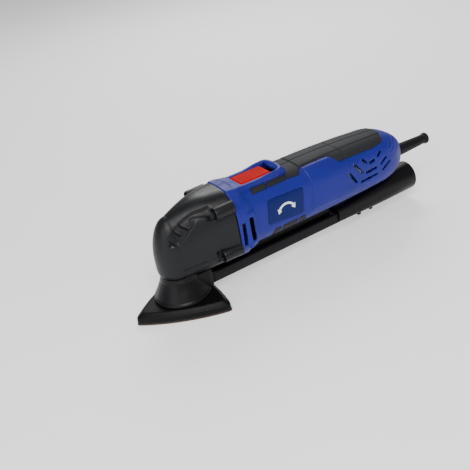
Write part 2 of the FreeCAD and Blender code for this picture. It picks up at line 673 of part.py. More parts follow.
module = block((194, 216), (-10, 10), (70, 90))
module = module.makeFillet(1, module.Edges)
for pin_y in (-6, 0, 6):
    module = module.fuse(block((204, 206), (pin_y - 1.5, pin_y + 1.5), (64, 71)))
place_shape("switch_module", module.removeSplitter())

board = doc.addObject("Part::Box", "board")
for name, measure in (("Length", 46), ("Width", 34), ("Height", 1.6)):
    setattr(board, name, measure)
board.Placement = Placement(Vector(186, -17, 54), Rotation())
bind(board, "Placement.Base.z", ("cord_height", -3.5))
keep(board, "control_board")

turned("capacitor", "X", rod(0, 18, 5.5), (209, -9, ("cord_height", 3.9)))
turned("potentiometer", "Z", [(71, 0), (76.2, 0), (76.2, 6), (71, 6)], ("dial_place", 14.5, 0))

clamp_bar = block((248, 254), (-13, 13), (52, 54.5))
clamp_bar = clamp_bar.cut([cylinder(1.5, (251, -9, 40), (251, -9, 60)),
                           cylinder(1.5, (251, 9, 40), (251, 9, 60))])
place_shape("cord_clamp", clamp_bar)
clamp_screws = []
for across in (-9, 9):
    clamp_screws.append(cylinder(2.8, (251, across, 54.5), (251, across, 56.6)).fuse(
        cylinder(1.5, (251, across, 52), (251, across, 54.5))))
place_shape("clamp_bar_screws", Part.makeCompound(clamp_screws))

# ---------------------------------------------------------------- switch and dial

button = new_body("switch_button")
outline = sketch_on(button, "XY_Plane", ("body_top", -3.5))
half = size("switch_half")
draw_polygon(outline, [("switch_start", -half), (switch_start + switch_length, -half),
                       (switch_start + switch_length, half), ("switch_start", half)])
extrude(button, outline, 6)
rib = sketch_on(button, "XY_Plane", ("body_top", 2.5))
draw_polygon(rib, [(switch_start + 2, -half + 1.5), (switch_start + 3, -half + 1.5),
                   (switch_start + 3, half - 1.5), (switch_start + 2, half - 1.5)])
first_rib = extrude(button, rib, 0.5)
row_pattern = button.newObject("PartDesign::LinearPattern", "pattern")
row_pattern.Originals = [first_rib]
row_pattern.Direction = (rib, ["H_Axis"])
row_pattern.Length = 29
row_pattern.Occurrences = 16
doc.recompute()
button.Tip = row_pattern

slider = new_body("switch_slider")
outline = sketch_on(slider, "XY_Plane", ("body_top", -5.3))
draw_polygon(outline, [("switch_start", -9), (("switch_start", 34), -9), (("switch_start", 34), 9),
                       ("switch_start", 9)])
extrude(slider, outline, 1.8)
link = new_body("switch_rod")
outline = sketch_on(link, "XY_Plane", ("body_top", -7.1))
draw_polygon(outline, [(100, -2.5), (186, -2.5), (186, 2.5), (100, 2.5)])
extrude(link, outline, 1.8)

dial = new_body("speed_dial", ("dial_place", DIAL_Y, 0))
turn(dial, "Z", tube(DIAL_Z - 3, DIAL_Z + 3, 0, "dial_radius"))
notch = sketch_on(dial, "XY_Plane", DIAL_Z - 3)
draw_circle(notch, 0.9, ("dial_radius", 0.4))
first_notch = extrude(dial, notch, 6, "PartDesign::Pocket", True)
around(dial, first_notch, notch, 24)

# ---------------------------------------------------------------- dust channel and cord sleeve

low, high = size("channel_low"), size("channel_high")
channel_half, channel_wall = size("channel_half"), size("channel_wall")
neck_low = size("neck_low")
cone = Part.makeCone(27.7, 17.4, neck_low - low, Vector(0, 0, low))
rear_plate = block((10, 28), (-channel_half - 3, channel_half + 3), (low, neck_low - 2))
shroud = cone.fuse(rear_plate)
shroud = shroud.cut(Part.makeCone(25.7, 16.6, neck_low - 2 - low, Vector(0, 0, low)))
shroud = shroud.cut(block((10, 30), (-channel_half + channel_wall, channel_half - channel_wall),
                          (low + channel_wall, high - channel_wall)))
shroud = shroud.cut(cylinder(14, (0, 0, low), (0, 0, 50)))
place_shape("dust_shroud", shroud)


def duct(x0, x1, half_width, base, crown, inset):
    """A straight rounded duct along X."""
    box = block((x0, x1), (-half_width + inset, half_width - inset), (base + inset, crown - inset))
    long_edges = [edge for edge in box.Edges if abs(edge.tangentAt(edge.FirstParameter).x) > 0.9]
    return box.makeFillet(2.5, long_edges)


outlet_start, outlet_end = size("outlet_start"), size("outlet_end")
channel = duct(28, outlet_start, channel_half, low, high, 0)
spigot = duct(outlet_start - 3, outlet_start + 6, channel_half, low, high, 2.2)
channel = channel.fuse(spigot)
# A web along the channel's back closes the gap up to the casing.
channel = channel.fuse(block((58, 178), (-4.5, 4.5), (high - 3, 40)))
channel = channel.cut([body_outer, duct(28, outlet_start - 3, channel_half, low, high, channel_wall),
                       duct(outlet_start - 4, outlet_start + 7, channel_half, low, high, 3.4)])
place_shape("extraction_channel", channel)


def outlet_section(place, inset):
    """From a boxy mouth round the channel to a round hose outlet."""
    ease = place * place * (3 - 2 * place)
    x = outlet_start + (outlet_end - outlet_start) * place
    half = 13.4 + (size("outlet_radius") - 13.4) * ease
    middle = 20.9 + 3.6 * ease
    tall = 8.5 + (size("outlet_radius") - 8.5) * ease
    power = 4.0 - 2.0 * ease
    return oval(x, half - inset, middle + tall - inset, middle - tall + inset, middle, power, power)


stations = [number / 8 for number in range(9)]
outlet_core = Part.makeLoft([outlet_section(place, 0.5) for place in stations], True, True)
outlet = Part.makeLoft([outlet_section(place, 0) for place in stations], True, True)
outlet = outlet.cut(Part.makeLoft([outlet_section(place, 2.1) for place in stations], True, True))
for lug_x in (211, 227):
    lug = block((lug_x, lug_x + 4), (-9, -5), (9, 14))
    lug = lug.fuse(block((lug_x, lug_x + 4), (5, 9), (9, 14)))
    outlet = outlet.fuse(lug.cut(outlet_core))
outlet_height = outlet_section(1, 0).BoundBox.Center.z
mouth = cylinder("outlet_bore", (outlet_end - 17, 0, outlet_height), (outlet_end + 1, 0, outlet_height))
place_shape("outlet_sleeve", outlet.cut(mouth))

turned("cord_sleeve", "X", [(258, "cord_bore"), (319, "cord_bore"), (319, 6.2), (316.5, 6.2), (315, 5.1),
                            (280, "sleeve_radius"), (262, "sleeve_radius"), (262, 9), (258, 9)],
       (0, 0, "cord_height"))

# ---------------------------------------------------------------- checks and files

doc.recompute()
os.makedirs("parts", exist_ok=True)
for thing in doc.Objects:
    if "Invalid" in thing.State or "Error" in thing.State:
        raise RuntimeError("failed object: %s %s" % (thing.Label, thing.State))
faulty = []
for piece in PIECES:
    if piece.Shape.isNull() or not piece.Shape.isValid() or piece.Shape.Volume <= 0:
        faulty.append(piece.Label)
if faulty:
    raise RuntimeError("bad shapes: %s" % faulty)
for piece in PIECES:
    piece.Shape.exportStep("parts/%s.step" % piece.Label)
print("%d sub-parts written" % len(PIECES))
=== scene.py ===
import math

import bmesh
import bpy
import numpy as np
from mathutils import Matrix, Vector


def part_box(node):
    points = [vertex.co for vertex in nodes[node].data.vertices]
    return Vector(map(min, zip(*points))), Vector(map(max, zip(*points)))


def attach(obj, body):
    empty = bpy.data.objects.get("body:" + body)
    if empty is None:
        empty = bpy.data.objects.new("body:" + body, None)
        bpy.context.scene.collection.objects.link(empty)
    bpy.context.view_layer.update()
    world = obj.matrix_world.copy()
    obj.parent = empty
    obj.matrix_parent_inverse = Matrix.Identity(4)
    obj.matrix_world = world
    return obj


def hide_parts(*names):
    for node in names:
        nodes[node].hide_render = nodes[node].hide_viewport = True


# Oscillating multi tool. Lengths below are in millimetres in the CAD frame and are scaled to
# metres when a mesh is made. The visible casings, grips, pad and duct are dense surfaces laid
# over the CAD sections, with every rib, slot, groove and step as real geometry.

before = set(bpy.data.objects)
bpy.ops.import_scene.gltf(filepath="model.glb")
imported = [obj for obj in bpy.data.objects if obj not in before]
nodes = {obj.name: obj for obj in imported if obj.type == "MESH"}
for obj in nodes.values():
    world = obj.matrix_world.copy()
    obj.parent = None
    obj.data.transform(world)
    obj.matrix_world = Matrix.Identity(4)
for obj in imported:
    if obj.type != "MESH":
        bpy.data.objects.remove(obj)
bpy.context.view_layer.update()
MM = 0.001


def span(node):
    """Lowest and highest corner of a CAD node in millimetres."""
    low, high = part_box(node)
    return np.array(low) / MM, np.array(high) / MM


SHELL_LOW, SHELL_HIGH = span("body_shell_left")
NECK = span("head_cover")[0][2]
BODY_START, BODY_END = SHELL_LOW[0], SHELL_HIGH[0]
MOTOR = (span("armature_core")[0][2] + span("armature_core")[1][2]) / 2
CORD = (span("cord_sleeve")[0][2] + span("cord_sleeve")[1][2]) / 2

# ---------------------------------------------------------------- small numeric helpers


def step(low, high, value):
    """0 below low, 1 above high, smooth between; low may be the larger."""
    t = np.clip((value - low) / (high - low), 0, 1)
    return t * t * (3 - 2 * t)


def monotone(places, values):
    """A smooth curve through a few stops that never overshoots them."""
    places, values = np.asarray(places, float), np.asarray(values, float)
    run = np.diff(places)
    rise = np.diff(values) / run
    slope = np.concatenate(([rise[0]], (rise[:-1] + rise[1:]) / 2, [rise[-1]]))
    slope[1:-1][rise[:-1] * rise[1:] <= 0] = 0
    for index, grade in enumerate(rise):
        if grade == 0:
            slope[index:index + 2] = 0
            continue
        steepness = math.hypot(slope[index] / grade, slope[index + 1] / grade)
        if steepness > 3:
            slope[index:index + 2] *= 3 / steepness

    def curve(x):
        x = np.clip(x, places[0], places[-1])
        i = np.clip(np.searchsorted(places, x) - 1, 0, len(run) - 1)
        t = (x - places[i]) / run[i]
        return ((1 + 2 * t) * (1 - t) ** 2 * values[i] + t * (1 - t) ** 2 * run[i] * slope[i]
                + t * t * (3 - 2 * t) * values[i + 1] + t * t * (t - 1) * run[i] * slope[i + 1])
    return curve


def outline_distance(a, b, corners, rounding=0.0):
    """Signed distance to a closed outline in the (a, b) plane, negative inside, corners rounded."""
    corners = inset(corners, rounding) if rounding else corners
    best = np.full(a.shape, 1e9)
    inside = np.zeros(a.shape, bool)
    for (a0, b0), (a1, b1) in zip(corners, corners[1:] + corners[:1]):
        da, db = a1 - a0, b1 - b0
        t = np.clip(((a - a0) * da + (b - b0) * db) / (da * da + db * db), 0, 1)
        best = np.minimum(best, np.hypot(a - a0 - t * da, b - b0 - t * db))
        if b0 != b1:
            crossing = (b0 > b) != (b1 > b)
            inside ^= crossing & (a < da * (b - b0) / db + a0)
    return np.where(inside, -best, best) - rounding


def inset(corners, amount):
    """The outline with each edge moved inwards by amount."""
    area = 0.0
    for (a0, b0), (a1, b1) in zip(corners, corners[1:] + corners[:1]):
        area += a0 * b1 - a1 * b0
    turn = 1 if area > 0 else -1
    moved = []
    count = len(corners)
    for index in range(count):
        before = Vector(corners[index]) - Vector(corners[index - 1])
        after = Vector(corners[(index + 1) % count]) - Vector(corners[index])
        before.normalize()
        after.normalize()
        normal_a = Vector((-before.y, before.x)) * turn
        normal_b = Vector((-after.y, after.x)) * turn
        bisector = normal_a + normal_b
        scale = amount / max(0.2, (1 + normal_a.dot(normal_b)))
        moved.append(tuple(Vector(corners[index]) + bisector * scale))
    return moved


def line_distance(a, b, start, end):
    """Distance to a straight stroke in the (a, b) plane."""
    da, db = end[0] - start[0], end[1] - start[1]
    t = np.clip(((a - start[0]) * da + (b - start[1]) * db) / (da * da + db * db), 0, 1)
    return np.hypot(a - start[0] - t * da, b - start[1] - t * db)


def groove(distance, width, depth):
    """A round-bottomed line cut along distance 0."""
    return -depth * np.exp(-(distance / width) ** 2)


# ---------------------------------------------------------------- surfaces


def half_oval(half, high, low, middle, round_top, round_low, rows):
    """The left half of a section from crown to keel, evenly spaced along its length."""
    angle = np.linspace(0, math.pi, 1201)
    across, rise = np.sin(angle), np.cos(angle)
    power = np.where(rise >= 0, round_top, round_low)
    tall = np.where(rise >= 0, high - middle, middle - low)
    y = -half * np.abs(across) ** (2 / power)
    z = middle + np.sign(rise) * tall * np.abs(rise) ** (2 / power)
    length = np.concatenate(([0], np.cumsum(np.hypot(np.diff(y), np.diff(z)))))
    even = np.linspace(0, length[-1], rows)
    return np.interp(even, length, y), np.interp(even, length, z), even


class Surface:
    """A grid of points with unit normals; columns run to the rear, rows from crown to keel."""

    def __init__(self, points, along, run):
        self.points = points
        self.along = along
        self.run = run
        forward = np.gradient(points, axis=0)
        down = np.gradient(points, axis=1)
        normal = np.cross(down, forward)
        size = np.linalg.norm(normal, axis=2, keepdims=True)
        up = np.zeros_like(normal)
        up[..., 2] = 1
        self.normal = np.where(size > 1e-9, normal / np.maximum(size, 1e-9), up)

    def side_to_along(self, x, z):
        """Distance from the crown line of the point at (x, z) in side view."""
        column = np.argmin(np.abs(self.points[:, 0, 0] - x))
        return float(np.interp(-z, -self.points[column, :, 2], self.along[column]))

    def outline(self, corners):
        """Side-view (x, z) corners as (x, along) corners."""
        return [(x, self.side_to_along(x, z)) for x, z in corners]

    def grid(self):
        """The (run, along) parameters of every grid point."""
        return np.repeat(self.run[:, None], self.along.shape[1], 1), self.along.copy()

    def sample(self, run, along):
        """Points and unit normals at (run, along), between grid points."""
        columns, rows = self.along.shape
        column = np.clip(np.interp(run, self.run, np.arange(columns)), 0, columns - 1.001)
        length = np.interp(column, np.arange(columns), self.along[:, -1])
        row = np.clip(along / length * (rows - 1), 0, rows - 1.001)
        i, j = column.astype(int), row.astype(int)
        u, v = (column - i)[..., None], (row - j)[..., None]
        blended = []
        for field in (self.points, self.normal):
            near = field[i, j] * (1 - v) + field[i, j + 1] * v
            far = field[i + 1, j] * (1 - v) + field[i + 1, j + 1] * v
            blended.append(near * (1 - u) + far * u)
        points, normals = blended
        normals /= np.linalg.norm(normals, axis=-1, keepdims=True)
        return points, normals

    def locate(self, spot):
        """(run, along) of the grid point nearest to a point in space."""
        away = np.linalg.norm(self.points - np.array(spot, float), axis=2)
        i, j = np.unravel_index(np.argmin(away), away.shape)
        return float(self.run[i]), float(self.along[i, j])


def body_surface(rows=150, pace=0.7):
    """Collar, barrel and domed end, as in the CAD sections."""
    dome = 232.0
    places = [BODY_START, 65, 72, 79, 150, 205, dome]
    half = monotone(places, [32.5, 32.5, 30.6, 30, 30, 29.2, 28.4])
    high = monotone(places, [103.5, 103.5, 98.7, 97.5, 97, 95.3, 93.3])
    low = monotone(places, [31, 31, 35, 37, 37, 37.6, 38.6])
    columns = [(x, float(half(x)), float(high(x)), float(low(x)))
               for x in np.arange(BODY_START, dome, pace)]
    centre, top, base, side = 61.5, 93.3, 38.6, 28.4
    for degrees in np.arange(0, 80.1, 1.0):
        angle = math.radians(degrees)
        shrink = math.cos(angle) ** 0.8
        columns.append((dome + (BODY_END - dome) * math.sin(angle), side * shrink,
                        centre + (top - centre) * shrink, centre - (centre - base) * shrink))
    x_end, half_end, high_end, low_end = columns[-1]
    for shrink in np.linspace(0.92, 0.03, 12):
        columns.append((x_end + 0.6 * (1 - shrink), half_end * shrink,
                        centre + (high_end - centre) * shrink, centre - (centre - low_end) * shrink))
    points = np.zeros((len(columns), rows, 3))
    along = np.zeros((len(columns), rows))
    for index, (x, half_here, high_here, low_here) in enumerate(columns):
        y, z, length = half_oval(half_here, high_here, low_here, (high_here + low_here) / 2, 2.8, 2.8, rows)
        points[index] = np.stack([np.full(rows, x), y, z], 1)
        along[index] = length
    return Surface(points, along, np.array([column[0] for column in columns]))


NOSE = 19.0


def head_half_section(place, rows):
    half = NOSE + (31 - NOSE) * place ** 0.8
    high = 95 + 9 * math.sin(math.pi / 2 * min(place * 1.5, 1))
    low = NECK + 0.5 - 0.5 * place
    middle = 52 + (MOTOR - 52) * place
    return half_oval(half, high, low, middle, 1.95 + 0.85 * place, 5.0 - 1.8 * place, rows)


def head_surface(rows=150):
    """Nose turned about the spindle, then sections growing back to the collar."""
    columns, lengths, run = [], [], []
    y, z, length = head_half_section(0, rows)
    for degrees in np.linspace(0, 90, 55)[:-1]:
        angle = math.radians(degrees)
        columns.append(np.stack([y * math.cos(angle), y * math.sin(angle), z], 1))
        lengths.append(length)
        run.append(NOSE * (angle - math.pi / 2))
    for place in np.linspace(0, 1, 82):
        y, z, length = head_half_section(place, rows)
        columns.append(np.stack([np.full(rows, BODY_START * place), y, z], 1))
        lengths.append(length)
        run.append(BODY_START * place)
    return Surface(np.array(columns), np.array(lengths), np.array(run))


# ---------------------------------------------------------------- meshes


def new_object(name, verts, faces, material, body="root", smooth=True):
    mesh = bpy.data.meshes.new(name)
    mesh.from_pydata([tuple(v) for v in np.asarray(verts) * MM], [], faces)
    mesh.validate()
    mesh.update()
    if smooth:
        mesh.shade_smooth()
    piece = bpy.data.objects.new(name, mesh)
    bpy.context.scene.collection.objects.link(piece)
    mesh.materials.append(material)
    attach(piece, body)
    return piece


def dress(piece, replaced, crease):
    """Keeps edges over crease degrees sharp, and hides the CAD nodes the piece stands for."""
    piece.data.set_sharp_from_angle(angle=math.radians(crease))
    if replaced:
        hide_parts(*replaced)
    return piece


def tube_mesh(name, rings, material, body="root", closed=False, smooth=True):
    """A skin through equal rings of points; each ring is closed round."""
    rings = np.asarray(rings, float)
    count, around = rings.shape[:2]
    verts = rings.reshape(-1, 3)
    faces = []
    for i in range(count - (0 if closed else 1)):
        j = (i + 1) % count
        for k in range(around):
            m = (k + 1) % around
            faces.append((i * around + k, j * around + k, j * around + m, i * around + m))
    if not closed:
        faces.append(tuple(range(around))[::1])
        faces.append(tuple(reversed([(count - 1) * around + k for k in range(around)])))
    piece = new_object(name, verts, faces, material, body, smooth)
    tidy = bmesh.new()
    tidy.from_mesh(piece.data)
    bmesh.ops.recalc_face_normals(tidy, faces=tidy.faces)
    tidy.to_mesh(piece.data)
    tidy.free()
    return piece


def lathe(profile, axis, centre, steps=96):
    """Rings of (along, radius) stops turned about an axis through centre."""
    angle = np.linspace(0, 2 * math.pi, steps, endpoint=False)
    rings = []
    for along, radius in profile:
        ring = np.zeros((steps, 3))
        if axis == "X":
            ring[:, 0] = along
            ring[:, 1] = radius * np.cos(angle)
            ring[:, 2] = radius * np.sin(angle)
        else:
            ring[:, 0] = radius * np.cos(angle)
            ring[:, 1] = radius * np.sin(angle)
            ring[:, 2] = along
        rings.append(ring + np.array(centre))
    return rings


def rounded_box(name, low, high, radius, material, body="root", segments=4):
    """A box with every edge rounded."""
    mesh = bmesh.new()
    bmesh.ops.create_cube(mesh, size=1.0)
    low, high = np.array(low, float) * MM, np.array(high, float) * MM
    for vert in mesh.verts:
        vert.co = Vector((low + high) / 2 + np.array(vert.co) * (high - low))
    bmesh.ops.bevel(mesh, geom=mesh.edges[:], offset=radius * MM, segments=segments, profile=0.5,
                    affect="EDGES", clamp_overlap=True)
    data = bpy.data.meshes.new(name)
    mesh.to_mesh(data)
    mesh.free()
    data.shade_smooth()
    piece = bpy.data.objects.new(name, data)
    bpy.context.scene.collection.objects.link(piece)
    data.materials.append(material)
    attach(piece, body)
    weighted = piece.modifiers.new("normals", "WEIGHTED_NORMAL")
    weighted.keep_sharp = True
    return piece


# ---------------------------------------------------------------- materials


class Graph:
    """A short way to write a node material."""

    def __init__(self, name):
        self.material = bpy.data.materials.new(name)
        self.material.use_nodes = True
        self.nodes = self.material.node_tree.nodes
        self.links = self.material.node_tree.links
        self.shader = self.nodes["Principled BSDF"]
        self.place = self.nodes.new("ShaderNodeTexCoord").outputs["Object"]

    def link(self, source, target):
        self.links.new(source, target)

    def noise(self, scale, detail=3.0, roughness=0.5, stretch=None):
        node = self.nodes.new("ShaderNodeTexNoise")
        node.inputs["Scale"].default_value = scale
        node.inputs["Detail"].default_value = detail
        node.inputs["Roughness"].default_value = roughness
        source = self.place
        if stretch:
            mapping = self.nodes.new("ShaderNodeMapping")
            mapping.inputs["Scale"].default_value = stretch
            self.link(source, mapping.inputs["Vector"])
            source = mapping.outputs["Vector"]
        self.link(source, node.inputs["Vector"])
        return node.outputs["Fac"]

    def ramp(self, source, low, high, low_value, high_value):
        node = self.nodes.new("ShaderNodeMapRange")
        node.interpolation_type = "SMOOTHSTEP"
        node.inputs["From Min"].default_value = low
        node.inputs["From Max"].default_value = high
        node.inputs["To Min"].default_value = low_value
        node.inputs["To Max"].default_value = high_value
        self.link(source, node.inputs["Value"])
        return node.outputs["Result"]

    def math(self, kind, a, b):
        node = self.nodes.new("ShaderNodeMath")
        node.operation = kind
        for socket, value in zip(node.inputs, (a, b)):
            if isinstance(value, (int, float)):
                socket.default_value = value
            else:
                self.link(value, socket)
        return node.outputs["Value"]

    def mix(self, factor, a, b):
        node = self.nodes.new("ShaderNodeMix")
        node.data_type = "RGBA"
        if isinstance(factor, (int, float)):
            node.inputs["Factor"].default_value = factor
        else:
            self.link(factor, node.inputs["Factor"])
        for name, value in (("A", a), ("B", b)):
            socket = [item for item in node.inputs if item.name == name and item.type == "RGBA"][0]
            if isinstance(value, tuple):
                socket.default_value = value + (1.0,) if len(value) == 3 else value
            else:
                self.link(value, socket)
        return [item for item in node.outputs if item.type == "RGBA"][0]

    def bump(self, height, distance, strength=1.0, below=None):
        node = self.nodes.new("ShaderNodeBump")
        node.inputs["Strength"].default_value = strength
        node.inputs["Distance"].default_value = distance
        self.link(height, node.inputs["Height"])
        if below is not None:
            self.link(below, node.inputs["Normal"])
        return node.outputs["Normal"]

    def edges(self):
        """Over 0.5 on convex edges, 0.5 on flats, less in hollows."""
        node = self.nodes.new("ShaderNodeNewGeometry")
        return node.outputs["Pointiness"]


def linear(red, green, blue):
    """Scene colour of an sRGB colour given 0 to 255."""
    out = []
    for value in (red, green, blue):
        value /= 255
        out.append(value / 12.92 if value <= 0.04045 else ((value + 0.055) / 1.055) ** 2.4)
    return tuple(out)


def shade(colour, amount):
    return tuple(min(1.0, value * amount) for value in colour)


def moulded(name, colour, roughness, grain=900.0, depth=0.00012, spread=0.07, specular=0.5, wear=0.25):
    """Moulded plastic: spark-eroded grain, uneven gloss and paler rubbed edges."""
    graph = Graph(name)
    patches = graph.noise(14.0, 4.0, 0.6)
    fine = graph.noise(grain, 2.0, 0.55)
    tone = graph.mix(graph.ramp(patches, 0.35, 0.65, 0.0, 1.0), shade(colour, 1 - spread),
                     shade(colour, 1 + spread))
    edge = graph.ramp(graph.edges(), 0.53, 0.62, 0.0, wear)
    pale = tuple(min(1.0, value * 1.6 + 0.015) for value in colour)
    graph.link(graph.mix(edge, tone, pale), graph.shader.inputs["Base Color"])
    smears = graph.noise(45.0, 5.0, 0.65, (1.0, 2.2, 1.6))
    uneven = graph.math("ADD", graph.ramp(smears, 0.3, 0.7, roughness - 0.05, roughness + 0.07),
                        graph.ramp(fine, 0.3, 0.7, -0.02, 0.03))
    graph.link(uneven, graph.shader.inputs["Roughness"])
    graph.link(graph.bump(fine, depth, 0.5), graph.shader.inputs["Normal"])
    graph.shader.inputs["Specular IOR Level"].default_value = specular
    return graph.material


def rubbery(name, colour, roughness, dimple=0.0):
    """Soft-touch rubber: matt with a dense grain and a faint sheen."""
    graph = Graph(name)
    grain = graph.noise(1500.0, 3.0, 0.6)
    blotch = graph.noise(22.0, 4.0, 0.6)
    tone = graph.mix(graph.ramp(blotch, 0.3, 0.7, 0.0, 1.0), shade(colour, 0.9), shade(colour, 1.1))
    dusty = graph.ramp(graph.noise(160.0, 5.0, 0.75), 0.56, 0.75, 0.0, 0.14)
    graph.link(graph.mix(dusty, tone, tuple(min(1.0, value * 1.8 + 0.01) for value in colour)),
               graph.shader.inputs["Base Color"])
    graph.link(graph.ramp(grain, 0.3, 0.7, roughness - 0.06, roughness + 0.08),
               graph.shader.inputs["Roughness"])
    below = None
    if dimple:
        cells = graph.nodes.new("ShaderNodeTexVoronoi")
        cells.inputs["Scale"].default_value = 700.0
        graph.link(graph.place, cells.inputs["Vector"])
        below = graph.bump(cells.outputs["Distance"], dimple, 0.5)
    graph.link(graph.bump(grain, 0.00015, 0.5, below), graph.shader.inputs["Normal"])
    graph.shader.inputs["Sheen Weight"].default_value = 0.02
    graph.shader.inputs["Specular IOR Level"].default_value = 0.15
    graph.shader.inputs["Sheen Roughness"].default_value = 0.4
    return graph.material


def metal(name, colour, roughness, stretch=(1.0, 1.0, 1.0), metallic=1.0):
    """Machined or cast metal with fine marks and uneven polish."""
    graph = Graph(name)
    marks = graph.noise(380.0, 4.0, 0.7, stretch)
    stain = graph.noise(30.0, 4.0, 0.6)
    graph.link(graph.mix(graph.ramp(stain, 0.35, 0.7, 0.0, 1.0), shade(colour, 0.86), shade(colour, 1.06)),
               graph.shader.inputs["Base Color"])
    graph.link(graph.ramp(marks, 0.3, 0.7, roughness - 0.08, roughness + 0.12),
               graph.shader.inputs["Roughness"])
    graph.link(graph.bump(marks, 0.00006, 0.4), graph.shader.inputs["Normal"])
    graph.shader.inputs["Metallic"].default_value = metallic
    return graph.material


def felted(name, colour, scale=700.0):
    """Short fibres, for felt and the hook backing."""
    graph = Graph(name)
    fibres = graph.noise(scale, 6.0, 0.8, (1.0, 1.0, 0.4))
    graph.link(graph.mix(graph.ramp(fibres, 0.3, 0.7, 0.0, 1.0), shade(colour, 0.65), shade(colour, 1.25)),
               graph.shader.inputs["Base Color"])
    graph.link(graph.ramp(fibres, 0.3, 0.7, 0.8, 0.98), graph.shader.inputs["Roughness"])
    graph.link(graph.bump(fibres, 0.0005, 0.7), graph.shader.inputs["Normal"])
    graph.shader.inputs["Sheen Weight"].default_value = 0.3
    return graph.material


def wound(name, colour):
    """Varnished magnet wire laid in turns."""
    graph = Graph(name)
    wave = graph.nodes.new("ShaderNodeTexWave")
    wave.inputs["Scale"].default_value = 260.0
    wave.inputs["Distortion"].default_value = 1.2
    graph.link(graph.place, wave.inputs["Vector"])
    graph.link(graph.mix(wave.outputs["Fac"], shade(colour, 0.55), colour),
               graph.shader.inputs["Base Color"])
    graph.link(graph.bump(wave.outputs["Fac"], 0.0004, 0.6), graph.shader.inputs["Normal"])
    graph.link(graph.ramp(graph.noise(300.0), 0.3, 0.7, 0.25, 0.42), graph.shader.inputs["Roughness"])
    graph.shader.inputs["Metallic"].default_value = 0.85
    return graph.material


def gritty(name, colour):
    """Abrasive paper: coarse grit seen on the face."""
    graph = Graph(name)
    grit = graph.nodes.new("ShaderNodeTexVoronoi")
    grit.inputs["Scale"].default_value = 2200.0
    graph.link(graph.place, grit.inputs["Vector"])
    speck = graph.noise(1800.0, 3.0, 0.7)
    graph.link(graph.mix(graph.ramp(speck, 0.35, 0.65, 0.0, 1.0), shade(colour, 0.7), shade(colour, 1.3)),
               graph.shader.inputs["Base Color"])
    graph.link(graph.bump(grit.outputs["Distance"], 0.0002, 0.8), graph.shader.inputs["Normal"])
    graph.link(graph.ramp(speck, 0.3, 0.7, 0.75, 0.95), graph.shader.inputs["Roughness"])
    return graph.material


BLUE = moulded("blue_casing", linear(21, 26, 118), 0.44, wear=0.04, specular=0.22)
DARK = moulded("head_plastic", linear(14, 15, 18), 0.4, grain=700.0, wear=0.05, specular=0.25)
GREY = rubbery("soft_grip_rubber", linear(33, 34, 37), 0.62)
PLATE = moulded("badge_plate", linear(7, 20, 84), 0.42, depth=0.00006, wear=0.02, specular=0.15)
BLACK = moulded("black_plastic", linear(16, 17, 19), 0.45, wear=0.08)
DUST = moulded("dust_duct_plastic", linear(8, 8, 10), 0.38, wear=0.03, specular=0.18)
RED = moulded("red_button_plastic", linear(168, 0, 0), 0.6, wear=0.0, specular=0.05, spread=0.03)
WHITE = moulded("white_mark", linear(225, 228, 232), 0.5, wear=0.0)
SLEEVE = rubbery("sleeve_rubber", linear(15, 15, 17), 0.5)
FOAM = rubbery("pad_rubber", linear(5, 5, 6), 0.5, dimple=0.0002)
HOOK = felted("hook_fabric", linear(12, 11, 12), 900.0)
PAPER = gritty("abrasive_sheet", linear(88, 58, 42))
FELT = felted("felt_ring", linear(120, 114, 102))
STEEL = metal("bright_steel", linear(190, 192, 196), 0.32)
DARK_STEEL = metal("black_steel", linear(60, 61, 64), 0.38)
CAST = metal("die_cast_alloy", linear(116, 118, 121), 0.5)
BRASS = metal("brass_parts", linear(205, 168, 92), 0.34)
COPPER = wound("copper_wire", linear(196, 104, 58))
CARBON = rubbery("carbon_block", linear(38, 38, 40), 0.55)
BOARD = moulded("circuit_board", linear(20, 96, 58), 0.35)
PALE = moulded("white_plastic", linear(226, 226, 220), 0.42)

SLOT_FINISH = {
    "blue_housing": BLUE, "soft_grip": GREY, "badge_blue": PLATE, "dark_cover": DARK,
    "dark_steel": DARK_STEEL, "cast_alloy": CAST, "dust_plastic": DUST, "sleeve_rubber": SLEEVE,
    "black_plastic": BLACK, "steel": STEEL, "copper": COPPER, "brass_part": BRASS, "carbon": CARBON,
    "felt": FELT, "board_green": BOARD, "white_plastic": PALE, "red_button": RED, "pad_rubber": FOAM,
    "hook_fabric": HOOK, "abrasive": PAPER,
}
for node in nodes.values():
    for holder in node.material_slots:
        if holder.material:
            for slot_name, finish in SLOT_FINISH.items():
                if holder.material.name.split(".")[0] == slot_name:
                    holder.material = finish
                    break

# ---------------------------------------------------------------- feature helpers


def side_field(surface, corners, rounding=0.0):
    """Signed distance in (run, along) to an outline given by side-view (x, z) corners."""
    outline = surface.outline(corners)
    return lambda run, along: outline_distance(run, along, outline, rounding)


def flat_field(outline, rounding=0.0):
    """Signed distance to an outline given directly in (run, along)."""
    return lambda run, along: outline_distance(run, along, outline, rounding)


def slit_corners(start, end, width):
    run = Vector(end) - Vector(start)
    run.normalize()
    across = Vector((-run.y, run.x)) * (width / 2)
    start, end = Vector(start), Vector(end)
    return [tuple(start + across), tuple(end + across), tuple(end - across), tuple(start - across)]


def snap(run, along, field, reach=0.33):
    """Moves nearby grid points onto the field's outline, so that its edge is crisp."""
    small = 0.05
    here = field(run, along)
    slope_run = (field(run + small, along) - field(run - small, along)) / (2 * small)
    slope_along = (field(run, along + small) - field(run, along - small)) / (2 * small)
    near = np.abs(here) < reach
    near[:, 0] = False
    near[:, -1] = False
    near[0] = False
    near[-1] = False
    size = np.maximum(slope_run ** 2 + slope_along ** 2, 0.25)
    run = np.where(near, run - here * slope_run / size, run)
    along = np.where(near, along - here * slope_along / size, along)
    return run, along


